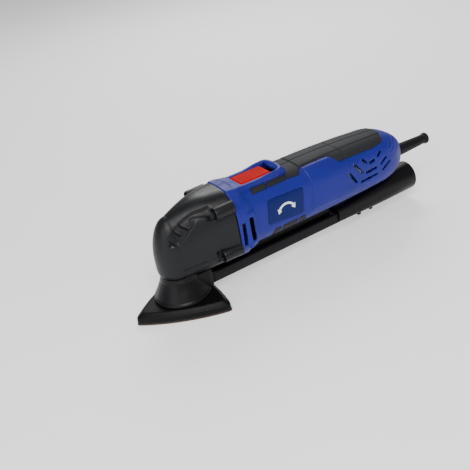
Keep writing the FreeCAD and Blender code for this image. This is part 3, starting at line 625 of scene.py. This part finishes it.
def patch(points, normals, lift, keep, side):
    """(verts, faces) of the kept cells of a lifted grid, for one side of the tool."""
    placed = points + normals * lift[..., None]
    if side == "right":
        placed = placed * np.array([1, -1, 1])
    columns, rows = lift.shape
    index = np.arange(columns * rows).reshape(columns, rows)
    whole = keep[:-1, :-1] & keep[1:, :-1] & keep[1:, 1:] & keep[:-1, 1:]
    corner = [index[:-1, :-1], index[:-1, 1:], index[1:, 1:], index[1:, :-1]]
    if side == "right":
        corner = corner[::-1]
    faces = np.stack([c[whole] for c in corner], 1)
    used = np.unique(faces)
    remap = np.zeros(columns * rows, int)
    remap[used] = np.arange(len(used))
    return placed.reshape(-1, 3)[used], remap[faces]


def assemble(name, parts, material, replaced, body="root", thickness=1.4, crease=50):
    """One thick piece out of several (verts, faces) patches, standing for CAD nodes."""
    verts, faces, start = [], [], 0
    for part_verts, part_faces in parts:
        verts.append(part_verts)
        faces.extend((np.asarray(part_faces) + start).tolist())
        start += len(part_verts)
    piece = new_object(name, np.concatenate(verts), faces, material, body)
    if thickness:
        thick = piece.modifiers.new("thickness", "SOLIDIFY")
        thick.thickness = thickness * MM
        thick.offset = -1
    return dress(piece, replaced, crease)


# ---------------------------------------------------------------- body

body = body_surface(170, 0.6)
RUN, ALONG = body.grid()

WINDOW = [(76.2, -6), (117.8, -6), (117.8, 11.2), (76.2, 11.2)]
RAIL = [(60, -6), (60, 0), (72, 9.5), (76, 14.4), (114, 14.4), (120.6, 10.5), (122.2, 4), (122.2, -6)]
GRIP_TOP = [(122.2, 96.6), (120.6, 92.0), (134.5, 91.3), (140, 94.8), (172, 94.8), (181, 88), (226, 86),
            (240.5, 87.5), (246.5, 91)]
TONGUES = [[(80.5, 91.8), (97, 91.8), (99, 96.4), (82.5, 96.4)],
           [(97.9, 91.8), (119.8, 91.8), (121.3, 96.4), (99.9, 96.4)]]
LOWER_STRIPS = [[(93, 43), (104, 43), (104, 51), (96, 51)],
                [(105.5, 43), (124, 43), (124, 51), (105.5, 51)],
                [(125.5, 43), (135, 43), (132, 51.5), (125.5, 51.5)]]
BADGE = [(88, 58), (130, 54.5), (133, 82), (91, 83.5)]
GRIP_RECESS, BADGE_RECESS = 1.3, 0.9
REAR_SLOTS = [((189, 73.5), (197.5, 59.5)), ((203, 58), (225.5, 59)), ((232, 60), (243.5, 67)),
              ((196, 80.5), (206, 67)), ((210, 65.7), (224.7, 66.3)), ((230, 67.5), (238.7, 73.2)),
              ((207.8, 81.5), (212.4, 75.4)), ((215.5, 74.2), (223, 75.5)), ((227, 77), (232.8, 81))]
COLLAR_SLOTS = [(61, 48.4), (69.8, 50.9)]
POSTS = [(84, 41.2), (140, 41.5), (178, 44.5), (178, 84), (222, 46), (222, 82)]

SHOULDER = 15.7
grip_outline = body.outline(GRIP_TOP)
grip_outline[0] = (121.9, SHOULDER)
grip_outline += [(247.5, -8), (126.2, -8), (125.6, 8), (123.6, 13)]
grip_fields = [flat_field(grip_outline, 0.8)]
gap_lines = []
for corners in TONGUES:
    outline = [(run, max(along, SHOULDER)) for run, along in body.outline(corners)]
    grip_fields.append(flat_field(outline, 0.5))
    gap_lines.append((outline[1], outline[2]))
strip_fields = [side_field(body, corners, 0.6) for corners in LOWER_STRIPS]
badge_field = side_field(body, BADGE, 2.0)
slot_fields = [side_field(body, slit_corners(start, end, 2.6), 0.5) for start, end in REAR_SLOTS]
for slot_x, slot_low in COLLAR_SLOTS:
    corners = slit_corners((slot_x, slot_low), (slot_x, slot_low + 25), 4.0)
    slot_fields.append(side_field(body, corners, 0.5))
window_field = flat_field(WINDOW, 1.2)


def nearest(fields, run, along):
    return np.min([field(run, along) for field in fields], axis=0)


def crown_rise(run):
    """Height of the switch surround's flat top."""
    rise = monotone([56, 65, 70, 76, 114, 119, 124, 129],
                    [103.2, 102.6, 101.4, 100.7, 100.6, 100.9, 100.9, 80])
    return rise(run)


def side_band(height):
    """1 on the flank beside the collar slots, 0 above and below."""
    return step(42.5, 45.5, height) * (1 - step(79, 82.5, height))


def body_lift(run, along, points, normals):
    """How far the blue casing stands off the plain section."""
    lift = np.zeros(run.shape)
    flat = np.clip((crown_rise(run) - points[..., 2]) / np.maximum(normals[..., 2], 0.6), 0, 6)
    flat *= (1 - step(13.4, 15.6 + 5 * (1 - step(66, 80, run)), along)) * (run < 130)
    lift += flat
    rail = outline_distance(run, along, RAIL)
    lift += 1.9 * np.exp(-(np.abs(rail) / 2.6) ** 3) * step(92, 112, run) * (along < 20)
    lift += groove(rail - 3.4, 0.7, 0.5) * step(74, 80, run) * (1 - step(118, 121, run)) * (along < 20)
    # Barrel line: the rear barrel stands a little proud of the front panel.
    bend = 141.2 + 2.3 * np.sin(np.clip((along - 18) / 46, 0, 1) * math.pi)
    below_grip = step(17, 19, along) * (1 - step(64, 67, along))
    lift += 0.45 * step(-0.4, 0.5, run - bend) * (1 - step(176, 200, run)) * below_grip
    lift += groove(run - bend + 0.6, 0.55, 0.55) * below_grip
    lift += groove(run - bend + 3.4, 0.4, 0.3) * below_grip
    # Collar: rounded front edge and a broad cheek behind it.
    lift -= 0.9 * (1 - step(BODY_START, BODY_START + 1.3, run))
    cheek = np.clip(32.3 + points[..., 1] * 1.0, 0, 2.4) * step(64, 66, run) * (1 - step(73.6, 76.2, run))
    lift += cheek * side_band(points[..., 2])
    lift += groove(run - 66.2, 0.9, 0.35) * (1 - step(26, 30, along))
    # Contour lines round the end.
    grip = grip_fields[0](run, along)
    for reach in (4.0, 8.2, 12.4, 16.6):
        lift += groove(grip - reach, 0.7, 0.38) * step(239, 247, run) * (1 - step(30, 40, along))
    for start, end in gap_lines:
        lift += groove(line_distance(run, along, start, end), 0.55, 1.4)
    # Seam between the halves.
    edge = np.minimum(along, along[:, -1:] - along)
    lift += groove(edge, 0.35, 0.3) * step(112, 122, run)
    # Beds for the grips, strips and badge.
    for field, depth in ((nearest(grip_fields, run, along), GRIP_RECESS),
                         (nearest(strip_fields, run, along), GRIP_RECESS),
                         (badge_field(run, along), BADGE_RECESS)):
        lift -= depth * (1 - step(-0.75, 0.1, field))
    return lift


def opened(run, along, points, side):
    """Signed distance to the openings through one casing half."""
    openings = np.minimum(nearest(slot_fields, run, along), window_field(run, along))
    if side == "right":
        for post_x, post_z in POSTS:
            hole = np.hypot(points[..., 0] - post_x, points[..., 2] - post_z) - 3.2
            openings = np.minimum(openings, np.where(points[..., 1] < -8, hole, 9))
        chord = np.hypot(points[..., 0] - 250, points[..., 1] + 16) - 11.6
        openings = np.minimum(openings, np.maximum(chord, np.abs(points[..., 2] - 80) - 3.4))
    return openings


def casing(side):
    run, along = RUN.copy(), ALONG.copy()
    for field in slot_fields + [window_field, badge_field] + grip_fields + strip_fields:
        run, along = snap(run, along, field)
    points, normals = body.sample(run, along)
    lift = body_lift(run, along, points, normals)
    hole = opened(run, along, points, side)
    lift = np.where(hole < 0.05, lift - 2.6 * (1 - step(-0.55, 0.05, hole)), lift)
    lift -= 0.25 * np.exp(-np.clip(hole, 0, 9) / 0.45)
    return patch(points, normals, lift, hole > -0.62, side)


def inlay(side, fields, proud, depth=1.2):
    """Soft or printed pieces that sit in beds of the casing."""
    run, along = RUN.copy(), ALONG.copy()
    for field in fields:
        run, along = snap(run, along, field)
    points, normals = body.sample(run, along)
    inside = nearest(fields, run, along)
    lift = proud(run, along, inside)
    edge = np.minimum(along, along[:, -1:] - along)
    lift += groove(edge, 0.5, 0.4)
    lift -= depth * step(-0.9, 0.05, inside)
    return patch(points, normals, lift, inside < 0.06, side)


def grip_proud(run, along, inside):
    """Top grip: raised spine, two cross grooves, a groove along the lower wings."""
    lift = np.full(run.shape, 0.45)
    main = grip_fields[0](run, along) < 0.5
    lift += 0.55 * (1 - step(14.6, 16.2, along + 0.045 * (run - 140))) * step(138.4, 139.8, run) * main
    lift += groove(run - 139.0, 0.5, 0.55) * main * (1 - step(17, 19, along))
    diagonal = run - (187 + 0.16 * along)
    lift += groove(diagonal, 0.6, 0.6) * main
    lift += groove(grip_fields[0](run, along) + 3.2, 0.5, 0.3) * step(190, 196, run)
    return lift


def strip_proud(run, along, inside):
    return 0.35 + 0.18 * np.cos(run * 2 * math.pi / 3.2) * (inside < -1.2)


def badge_proud(run, along, inside):
    return np.full(run.shape, 0.12)


for side in ("left", "right"):
    assemble("casing_" + side, [casing(side)], BLUE, ["body_shell_" + side], thickness=1.5)
    assemble("grip_top_" + side, [inlay(side, grip_fields, grip_proud)], GREY,
             ["soft_grip_" + side], thickness=0.9)
    assemble("grip_low_" + side, [inlay(side, strip_fields, strip_proud)], GREY,
             ["lower_grip_" + side], thickness=0.9)
    assemble("badge_plate_" + side, [inlay(side, [badge_field], badge_proud, 1.0)], PLATE,
             ["badge_" + side], thickness=0.6)


def mark(name, run, along, side, material, rise=0.3):
    points, normals = body.sample(run, along)
    keep = np.ones(run.shape, bool)
    lift = np.full(run.shape, rise)
    part = patch(points, normals, lift, keep, side)
    return assemble(name, [part], material, [], thickness=0.25, crease=30)


def triangle(a, b, c, count=9):
    """A grid that fills a triangle, in (run, along)."""
    t, u = np.meshgrid(np.linspace(0, 1, count), np.linspace(0, 1, count), indexing="ij")
    a, b, c = np.array(a), np.array(b), np.array(c)
    spots = a + (b - a) * t[..., None] + (c - b) * (t * u)[..., None]
    return spots[..., 0], spots[..., 1]


badge_low = body.side_to_along(112, 66)
for side in ("left", "right"):
    centre_run, centre_along = 110.5, badge_low + 2.5
    angle, reach = np.meshgrid(np.radians(np.linspace(215, 325, 40)), np.linspace(8.6, 10.8, 4),
                               indexing="ij")
    mark("swing_arc_" + side, centre_run + reach * np.cos(angle), centre_along + reach * np.sin(angle),
         side, WHITE)
    for end, turn in ((215, -1), (325, 1)):
        base = math.radians(end)
        tip = math.radians(end + turn * 26)
        corners = [(centre_run + 9.7 * math.cos(tip), centre_along + 9.7 * math.sin(tip)),
                   (centre_run + 6.9 * math.cos(base), centre_along + 6.9 * math.sin(base)),
                   (centre_run + 12.5 * math.cos(base), centre_along + 12.5 * math.sin(base))]
        run, along = triangle(*corners)
        mark("swing_tip_%s_%d" % (side, end), run, along, side, WHITE)

# ---------------------------------------------------------------- head

head = head_surface(250)
H_RUN, H_ALONG = head.grid()


def head_outline(spots):
    return [head.locate(spot) for spot in spots]


# Screw bosses on each side: distance from the middle, and height. Their bores end at BORE_END.
BOSSES = [(25.5, 91.0), (27.5, 47.5)]
BORE_END = 41.0
DEEPEST = 1.95
POCKET = head_outline([(36.5, -17.5, 98), (28.7, -16.1, 96.9), (21, -13.7, 96.3), (14, -12.7, 93.8),
                       (6.3, -11.6, 90.5), (-1.6, -11.4, 85.8), (-7.2, -12.5, 79.5), (-9, -13.5, 74),
                       (-7.4, -15.2, 71), (-1.8, -16.8, 70.6), (7, -18.7, 75.3), (13.3, -19.2, 81.1),
                       (19.5, -19.3, 86.5), (28, -21.6, 87.6), (36.5, -24.6, 86)])
BLADES = [((0.7, 0, 95.2), (0.7, -6.2, 92.8), (5.6, -12.8, 88.2), (12.6, -18.8, 81.5)),
          ((-7.3, 0, 91.4), (-4.3, -9.7, 87.2), (2.8, -15.7, 79.7)),
          ((-13.9, -0.5, 80.8), (-9, -12.3, 77.1), (-4, -16.1, 72.2))]
RIDGE = head_outline([(-16, -7, 67), (-10, -15, 66), (1, -18, 69)])
CREASE = head_outline([(-1, -19, 45), (17.5, -24, 47), (35, -27, 48)])
TEAR = head_outline([(17.5, -17, 90), (34, -23, 88)])


def head_lift(run, along, points):
    x, y, z = points[..., 0], points[..., 1], points[..., 2]
    lift = np.zeros(run.shape)
    pocket = outline_distance(run, along, POCKET, 1.5)
    lift -= 1.8 * (1 - step(-3.2, 0.6, pocket))
    # Each blade is a thin ridge in one plane, level across the spine and the pocket.
    for stops in BLADES:
        stops = np.array(stops)
        middle = stops.mean(axis=0)
        facing = np.linalg.svd(stops - middle)[2][-1]
        away = np.abs((points - middle) @ facing)
        near = (z > stops[-1, 2] - 3) * (1 - step(0, 1.5, -y + stops[-1, 1]))
        weight = np.exp(-(away / 0.55) ** 2) * near
        lift = lift * (1 - weight) + 0.5 * weight
    for line, height, width in ((RIDGE, 0.4, 0.9), (CREASE, -0.5, 0.8)):
        for start, end in zip(line, line[1:]):
            lift += height * np.exp(-(line_distance(run, along, start, end) / width) ** 2)
    lift += 1.4 * np.exp(-(line_distance(run, along, TEAR[0], TEAR[1]) / 2.2) ** 2)
    edge = np.minimum(along, along[:, -1:] - along)
    lift += groove(edge, 0.4, 0.25) * (x < 25)
    # Boss fairings: the surface swells into each screw boss and opens in front of it.
    for across, height in BOSSES:
        reach = np.hypot(y + across, z - height)
        front = step(22, 37, x) * (1 - step(37, 37.8, x))
        lift -= 1.4 * np.exp(-(reach / 5.5) ** 2) * front
    lift -= 0.5 * (1 - step(0, 1.2, BODY_START - x))
    lift = np.maximum(lift, -DEEPEST)
    for across, height in BOSSES:
        reach = np.hypot(y + across, z - height)
        dip = (1 - step(5.6, 6.6, reach)) * step(29, 34, x) * (1 - step(36.2, 36.8, x))
        bore = (1 - step(4.9, 5.1, reach)) * (x > 34) * (1 - step(40.2, 40.8, x))
        lift = np.minimum(lift, -DEEPEST * np.maximum(dip, bore))
    return lift


def head_side(side):
    run, along = H_RUN.copy(), H_ALONG.copy()
    points, normals = head.sample(run, along)
    lift = head_lift(run, along, points)
    return patch(points, normals, lift, np.ones(run.shape, bool), side)


def ring_faces(count, around):
    faces = []
    for i in range(count - 1):
        for k in range(around):
            m = (k + 1) % around
            faces.append([i * around + k, (i + 1) * around + k, (i + 1) * around + m, i * around + m])
    return faces


parts = [head_side("left"), head_side("right")]
boss_profile = [(BORE_END, 0.2), (BORE_END, 4.9), (36.7, 5.0), (36.1, 5.2), (36.1, 5.7), (36.5, 6.0),
                (37.2, 6.15), (44, 6.2), (BODY_START, 6.4)]
for across, height in BOSSES:
    for turn in (-1, 1):
        rings = np.array(lathe(boss_profile, "X", (0, turn * across, height), 48))
        faces = ring_faces(len(boss_profile), 48)
        faces = [face[::-1] for face in faces]
        parts.append((rings.reshape(-1, 3), np.array(faces)))
assemble("head_casing", parts, DARK, ["head_cover"], thickness=0)

# ---------------------------------------------------------------- delta pad


def pad_outline(scale, count=60):
    """Three bulged sides meeting in rounded tips, as evenly spaced points."""
    radius = 53.7 * scale
    middle = radius / 2 + 5.5 * scale
    corners = []
    for start in (180, 300, 60):
        ends = []
        for reach, angle in ((radius, 0), (middle, 60), (radius, 120)):
            bearing = math.radians(start + angle)
            ends.append((reach * math.cos(bearing), reach * math.sin(bearing)))
        (x0, y0), (x1, y1), (x2, y2) = ends
        d = 2 * (x0 * (y1 - y2) + x1 * (y2 - y0) + x2 * (y0 - y1))
        s0, s1, s2 = x0 ** 2 + y0 ** 2, x1 ** 2 + y1 ** 2, x2 ** 2 + y2 ** 2
        cx = (s0 * (y1 - y2) + s1 * (y2 - y0) + s2 * (y0 - y1)) / d
        cy = (s0 * (x2 - x1) + s1 * (x0 - x2) + s2 * (x1 - x0)) / d
        big = math.hypot(x0 - cx, y0 - cy)
        first = math.atan2(y0 - cy, x0 - cx)
        last = math.atan2(y2 - cy, x2 - cx)
        sweep = (last - first + math.pi) % (2 * math.pi) - math.pi
        for t in np.linspace(0, 1, 160, endpoint=False):
            corners.append((cx + big * math.cos(first + sweep * t), cy + big * math.sin(first + sweep * t)))
    path = np.array(corners)
    for turn in range(60):
        path = np.where(np.hypot(path[:, 0], path[:, 1])[:, None] > radius * 0.86,
                        (np.roll(path, 1, 0) + 2 * path + np.roll(path, -1, 0)) / 4, path)
    length = np.concatenate(([0], np.cumsum(np.hypot(*(np.roll(path, -1, 0) - path).T))))
    closed = np.vstack([path, path[:1]])
    even = np.linspace(0, length[-1], count * 3, endpoint=False)
    return np.stack([np.interp(even, length, closed[:, 0]), np.interp(even, length, closed[:, 1])], 1)


def layered(name, stops, material, replaced, hole=None):
    """A pad layer from (height, scale) stops on the outside, closed top and bottom."""
    outline = pad_outline(1.0)
    rings = []
    inner = hole or 0.0
    angle = np.arctan2(outline[:, 1], outline[:, 0])
    core = np.stack([inner * np.cos(angle), inner * np.sin(angle)], 1)
    first, last = stops[0], stops[-1]
    profile = []
    for share in (0.0, 0.25, 0.5, 0.75, 0.9, 0.97):
        profile.append((first[0], first[1], share))
    for height, scale in stops:
        profile.append((height, scale, 1.0))
    for share in (0.97, 0.9, 0.75, 0.5, 0.25, 0.0):
        profile.append((last[0], last[1], share))
    for height, scale, share in profile:
        flat = core * (1 - share) + outline * scale * share
        rings.append(np.column_stack([flat, np.full(len(flat), height)]))
    piece = tube_mesh(name, rings, material, "spindle_assembly", closed=bool(hole))
    return dress(piece, replaced, 40)


layered("abrasive_sheet_piece", [(0.0, 0.995), (0.15, 1.0), (0.65, 1.0), (0.8, 0.996)], PAPER,
        ["sanding_sheet"])
layered("hook_backing", [(0.85, 0.985), (1.2, 0.993), (1.8, 0.991), (2.15, 0.982)], HOOK,
        ["hook_layer"], hole=12.6)
pad_stops = [(2.2, 0.975), (2.5, 0.988), (4.0, 0.986), (6.6, 0.982), (7.4, 0.972), (7.9, 0.95),
             (8.5, 0.925), (9.6, 0.895), (10.5, 0.872), (10.9, 0.85), (11.0, 0.82)]
pad = layered("sanding_pad_body", pad_stops, FOAM, ["sanding_pad"], hole=17.1)

# ---------------------------------------------------------------- dust shroud, channel and outlet

cone_stops = [(12.4, 25.6), (12.4, 27.2), (12.8, 27.6), (13.6, 27.5), (14.6, 27.1), (15.0, 26.5),
              (16.0, 26.0), (24.0, 21.8), (31.0, 18.4), (32.2, 18.0), (33.3, 18.0), (33.8, 17.9),
              (34.0, 17.6), (36.2, 17.3), (36.2, 16.6), (31.5, 16.6), (20.0, 22.2), (12.4, 25.6)]
shroud = tube_mesh("shroud_cone", lathe(cone_stops, "Z", (0, 0, 0), 128), DUST, closed=True)
dress(shroud, ["dust_shroud"], 45)


def box_ring(x, half, low, high, corner, steps=8):
    """A rounded rectangle across the tool at x."""
    ring = []
    corner = min(corner, half * 0.98, (high - low) / 2 * 0.98)
    for cy, cz, start in ((half - corner, high - corner, 0), (-half + corner, high - corner, 90),
                          (-half + corner, low + corner, 180), (half - corner, low + corner, 270)):
        for degrees in np.linspace(start, start + 90, steps):
            angle = math.radians(degrees)
            ring.append((x, cy + corner * math.cos(angle), cz + corner * math.sin(angle)))
    return np.array(ring)


def duct_piece(name, stations, wall, replaced, material=DUST):
    """A hollow duct through (x, half, low, high, corner) stations."""
    outer = [box_ring(*station) for station in stations]
    inner = [box_ring(x, half - wall, low + wall, high - wall, max(corner - wall, 0.4))
             for x, half, low, high, corner in reversed(stations)]
    piece = tube_mesh(name, outer + inner, material, closed=True)
    return dress(piece, replaced, 40)


# The channel's underside and roof are level with these heights all along.
LOW, HIGH = 12.4, 24.6
mouth = [(10.5, 13.4, 12.4, 31.6, 1.5), (11, 13.9, 12.4, 31.9, 1.5), (24, 13.9, 12.4, 31.9, 1.5),
         (27.4, 13.8, 12.4, 31.9, 1.5), (28, 13.3, 12.6, 31.4, 1.5)]
duct_piece("shroud_mouth", mouth, 1.9, [])
# The channel: a plain run with a chamfer at each end, under a web that joins it to the casing.
run_stations = [(28.2, 10.6, LOW + 0.4, HIGH - 0.4, 2.2)]
for x in [28.8, *np.arange(34, 176, 6.0), 181.5, 182.6]:
    run_stations.append((float(x), 11, LOW, HIGH, 2.4))
run_stations.append((182.9, 10.6, LOW + 0.4, HIGH - 0.4, 2.2))
duct_piece("channel_run", run_stations, 1.8, ["extraction_channel"])
rounded_box("channel_web", (65, -4.5, 24.0), (178, 4.5, 37.8), 0.8, DUST)
rounded_box("channel_web_front", (36, -4.5, 24.0), (66, 4.5, 32.6), 0.8, DUST)


def outlet_ring(place, inset, steps=96):
    ease = place * place * (3 - 2 * place)
    half = 13.4 + (15.5 - 13.4) * ease - inset
    middle = 20.9 + 3.6 * ease
    tall = 8.5 + (15.5 - 8.5) * ease - inset
    power = 4.0 - 2.0 * ease
    angle = np.linspace(0, 2 * math.pi, steps, endpoint=False)
    y = half * np.sign(np.cos(angle)) * np.abs(np.cos(angle)) ** (2 / power)
    z = middle + tall * np.sign(np.sin(angle)) * np.abs(np.sin(angle)) ** (2 / power)
    return np.column_stack([np.full(steps, 183 + 106 * place), y, z])


outlet_rings = [outlet_ring(0.0, 0.6)]
for place in np.linspace(0.004, 0.992, 90):
    outlet_rings.append(outlet_ring(place, 0.0))
for place, inset_here in ((0.997, 0.2), (1.0, 0.7), (1.0, 1.4), (0.996, 1.9)):
    outlet_rings.append(outlet_ring(place, inset_here))
for place in np.linspace(0.985, 0.0, 40):
    outlet_rings.append(outlet_ring(place, 1.95))
outlet = tube_mesh("outlet_tube", outlet_rings, DUST, closed=True)
dress(outlet, ["outlet_sleeve"], 40)
for index, lug_x in enumerate((211, 227)):
    for turn in (-1, 1):
        low_y, high_y = sorted((turn * 5, turn * 9))
        rounded_box("outlet_lug_%d_%s" % (index, "left" if turn < 0 else "right"),
                    (lug_x, low_y, 9.0), (lug_x + 4, high_y, 14.5), 0.7, DUST)

# ---------------------------------------------------------------- cord sleeve

sleeve_stops = [(270, 3.75), (270, 6.4), (280, 6.45)]
for x in np.arange(283, 314, 1.0):
    taper = 6.45 - (x - 283) * 1.3 / 31
    sleeve_stops.append((float(x), taper - 0.12 * (math.sin((x - 283) * 2.1) > 0.6)))
sleeve_stops += [(314.4, 5.15), (315.2, 5.3), (316.0, 5.9), (316.8, 6.15), (318.2, 6.18), (318.8, 5.9),
                 (319.0, 5.2), (319.0, 4.3), (318.4, 3.8), (300, 3.72), (271, 3.72)]
sleeve = tube_mesh("cord_sleeve_piece", lathe(sleeve_stops, "X", (0, 0, CORD), 72), SLEEVE, closed=True)
dress(sleeve, ["cord_sleeve"], 45)

# ---------------------------------------------------------------- switch button

BUTTON_LOW, BUTTON_HIGH = span("switch_button")


def button_mesh():
    """A crowned slide button with fine cross ribs."""
    length = BUTTON_HIGH[0] - BUTTON_LOW[0]
    half = BUTTON_HIGH[1]
    top = BUTTON_HIGH[2] + 0.4
    xs = np.unique(np.concatenate([np.linspace(0, 1.2, 7), np.linspace(1.2, length - 1.2, 191),
                                   np.linspace(length - 1.2, length, 7)]))
    ys = np.concatenate([-half + np.array([0, 0.15, 0.4, 0.8, 1.3]), np.linspace(-half + 2, half - 2, 15),
                         half - np.array([1.3, 0.8, 0.4, 0.15, 0])])
    along, across = np.meshgrid(xs, ys, indexing="ij")
    edge = np.minimum(np.minimum(along, length - along), half - np.abs(across))
    rise = top - 0.9 * (1 - step(0, 1.1, edge)) - 0.35 * (across / half) ** 2
    field = step(2.6, 3.4, along) * (1 - step(length - 3.4, length - 2.6, along))
    field = field * (1 - step(half - 1.9, half - 1.3, np.abs(across)))
    rise -= 0.24 * field * (0.5 + 0.5 * np.cos(along * 2 * math.pi / 2.1))
    arrow = np.hypot(along - length * 0.62, across - 5.6) < 1.4
    rise = np.where(arrow, top - 0.5, rise)
    verts = np.stack([BUTTON_LOW[0] + along, across, rise], -1)
    count_x, count_y = along.shape
    index = np.arange(count_x * count_y).reshape(count_x, count_y)
    faces = np.stack([index[:-1, :-1], index[1:, :-1], index[1:, 1:], index[:-1, 1:]], -1).reshape(-1, 4)
    rim = list(index[:, 0]) + list(index[-1, 1:]) + list(index[-2::-1, -1]) + list(index[0, -2:0:-1])
    verts = verts.reshape(-1, 3)
    base = verts[rim].copy()
    base[:, 2] = BUTTON_LOW[2]
    start = len(verts)
    all_faces = faces.tolist()
    for k in range(len(rim)):
        m = (k + 1) % len(rim)
        all_faces.append([rim[k], start + k, start + m, rim[m]])
    all_faces.append([start + k for k in range(len(rim))][::-1])
    piece = new_object("slide_button", np.vstack([verts, base]), all_faces, RED, "switch")
    tidy = bmesh.new()
    tidy.from_mesh(piece.data)
    bmesh.ops.recalc_face_normals(tidy, faces=tidy.faces)
    tidy.to_mesh(piece.data)
    tidy.free()
    dress(piece, ["switch_button"], 50)


button_mesh()

# ---------------------------------------------------------------- studio

floor_mesh = bpy.data.meshes.new("studio_floor")
floor_mesh.from_pydata([(-4, -4, 0), (4, -4, 0), (4, 4, 0), (-4, 4, 0)], [], [(0, 1, 2, 3)])
floor = bpy.data.objects.new("studio_floor", floor_mesh)
bpy.context.scene.collection.objects.link(floor)
graph = Graph("floor_paper")
graph.link(graph.mix(graph.noise(3.0), (0.86, 0.86, 0.86), (0.9, 0.9, 0.9)),
           graph.shader.inputs["Base Color"])
graph.shader.inputs["Roughness"].default_value = 0.9
graph.shader.inputs["Emission Color"].default_value = (1.0, 1.0, 1.0, 1.0)
graph.shader.inputs["Emission Strength"].default_value = 0.3
floor_mesh.materials.append(graph.material)

world = bpy.data.worlds.new("studio_world")
bpy.context.scene.world = world
world.use_nodes = True
world.node_tree.nodes["Background"].inputs["Color"].default_value = (0.95, 0.97, 1.0, 1.0)
world.node_tree.nodes["Background"].inputs["Strength"].default_value = 0.42


def soft_light(name, place, size, power, tint=(1.0, 1.0, 1.0)):
    lamp = bpy.data.lights.new(name, "AREA")
    lamp.shape = "DISK"
    lamp.size = size
    lamp.energy = power
    lamp.color = tint
    holder = bpy.data.objects.new(name, lamp)
    bpy.context.scene.collection.objects.link(holder)
    holder.location = place
    aim = Vector((0.12, 0, 0.06)) - Vector(place)
    holder.rotation_euler = aim.to_track_quat("-Z", "Y").to_euler()


soft_light("key", (-0.35, -0.9, 1.15), 0.9, 24.0, (1.0, 0.99, 0.97))
soft_light("fill", (-1.2, -0.5, 0.5), 1.0, 6.0, (0.95, 0.97, 1.0))
soft_light("back", (0.7, 0.9, 0.9), 0.8, 12.0)

camera_data = bpy.data.cameras.new("camera")
camera = bpy.data.objects.new("camera", camera_data)
bpy.context.scene.collection.objects.link(camera)
bpy.context.scene.camera = camera
camera_data.sensor_width = 36.0
camera_data.lens = 57.3
camera_data.clip_start = 0.01
azimuth, elevation, roll = math.radians(-26.95), math.radians(29.28), math.radians(10.76)
backwards = Vector((math.sin(azimuth) * math.cos(elevation), -math.cos(azimuth) * math.cos(elevation),
                    math.sin(elevation)))
sideways = Vector((0, 0, 1)).cross(backwards).normalized()
upwards = backwards.cross(sideways)
right = sideways * math.cos(roll) - upwards * math.sin(roll)
up = upwards * math.cos(roll) + sideways * math.sin(roll)
matrix = [[right[i], up[i], backwards[i], 0.0] for i in range(3)]
target = Vector((0.06637, 0.0, 0.0459))
spot = target + backwards * 0.72705
for i in range(3):
    matrix[i][3] = spot[i]
matrix.append([0.0, 0.0, 0.0, 1.0])
camera.matrix_world = Matrix(matrix)

bpy.context.view_layer.update()
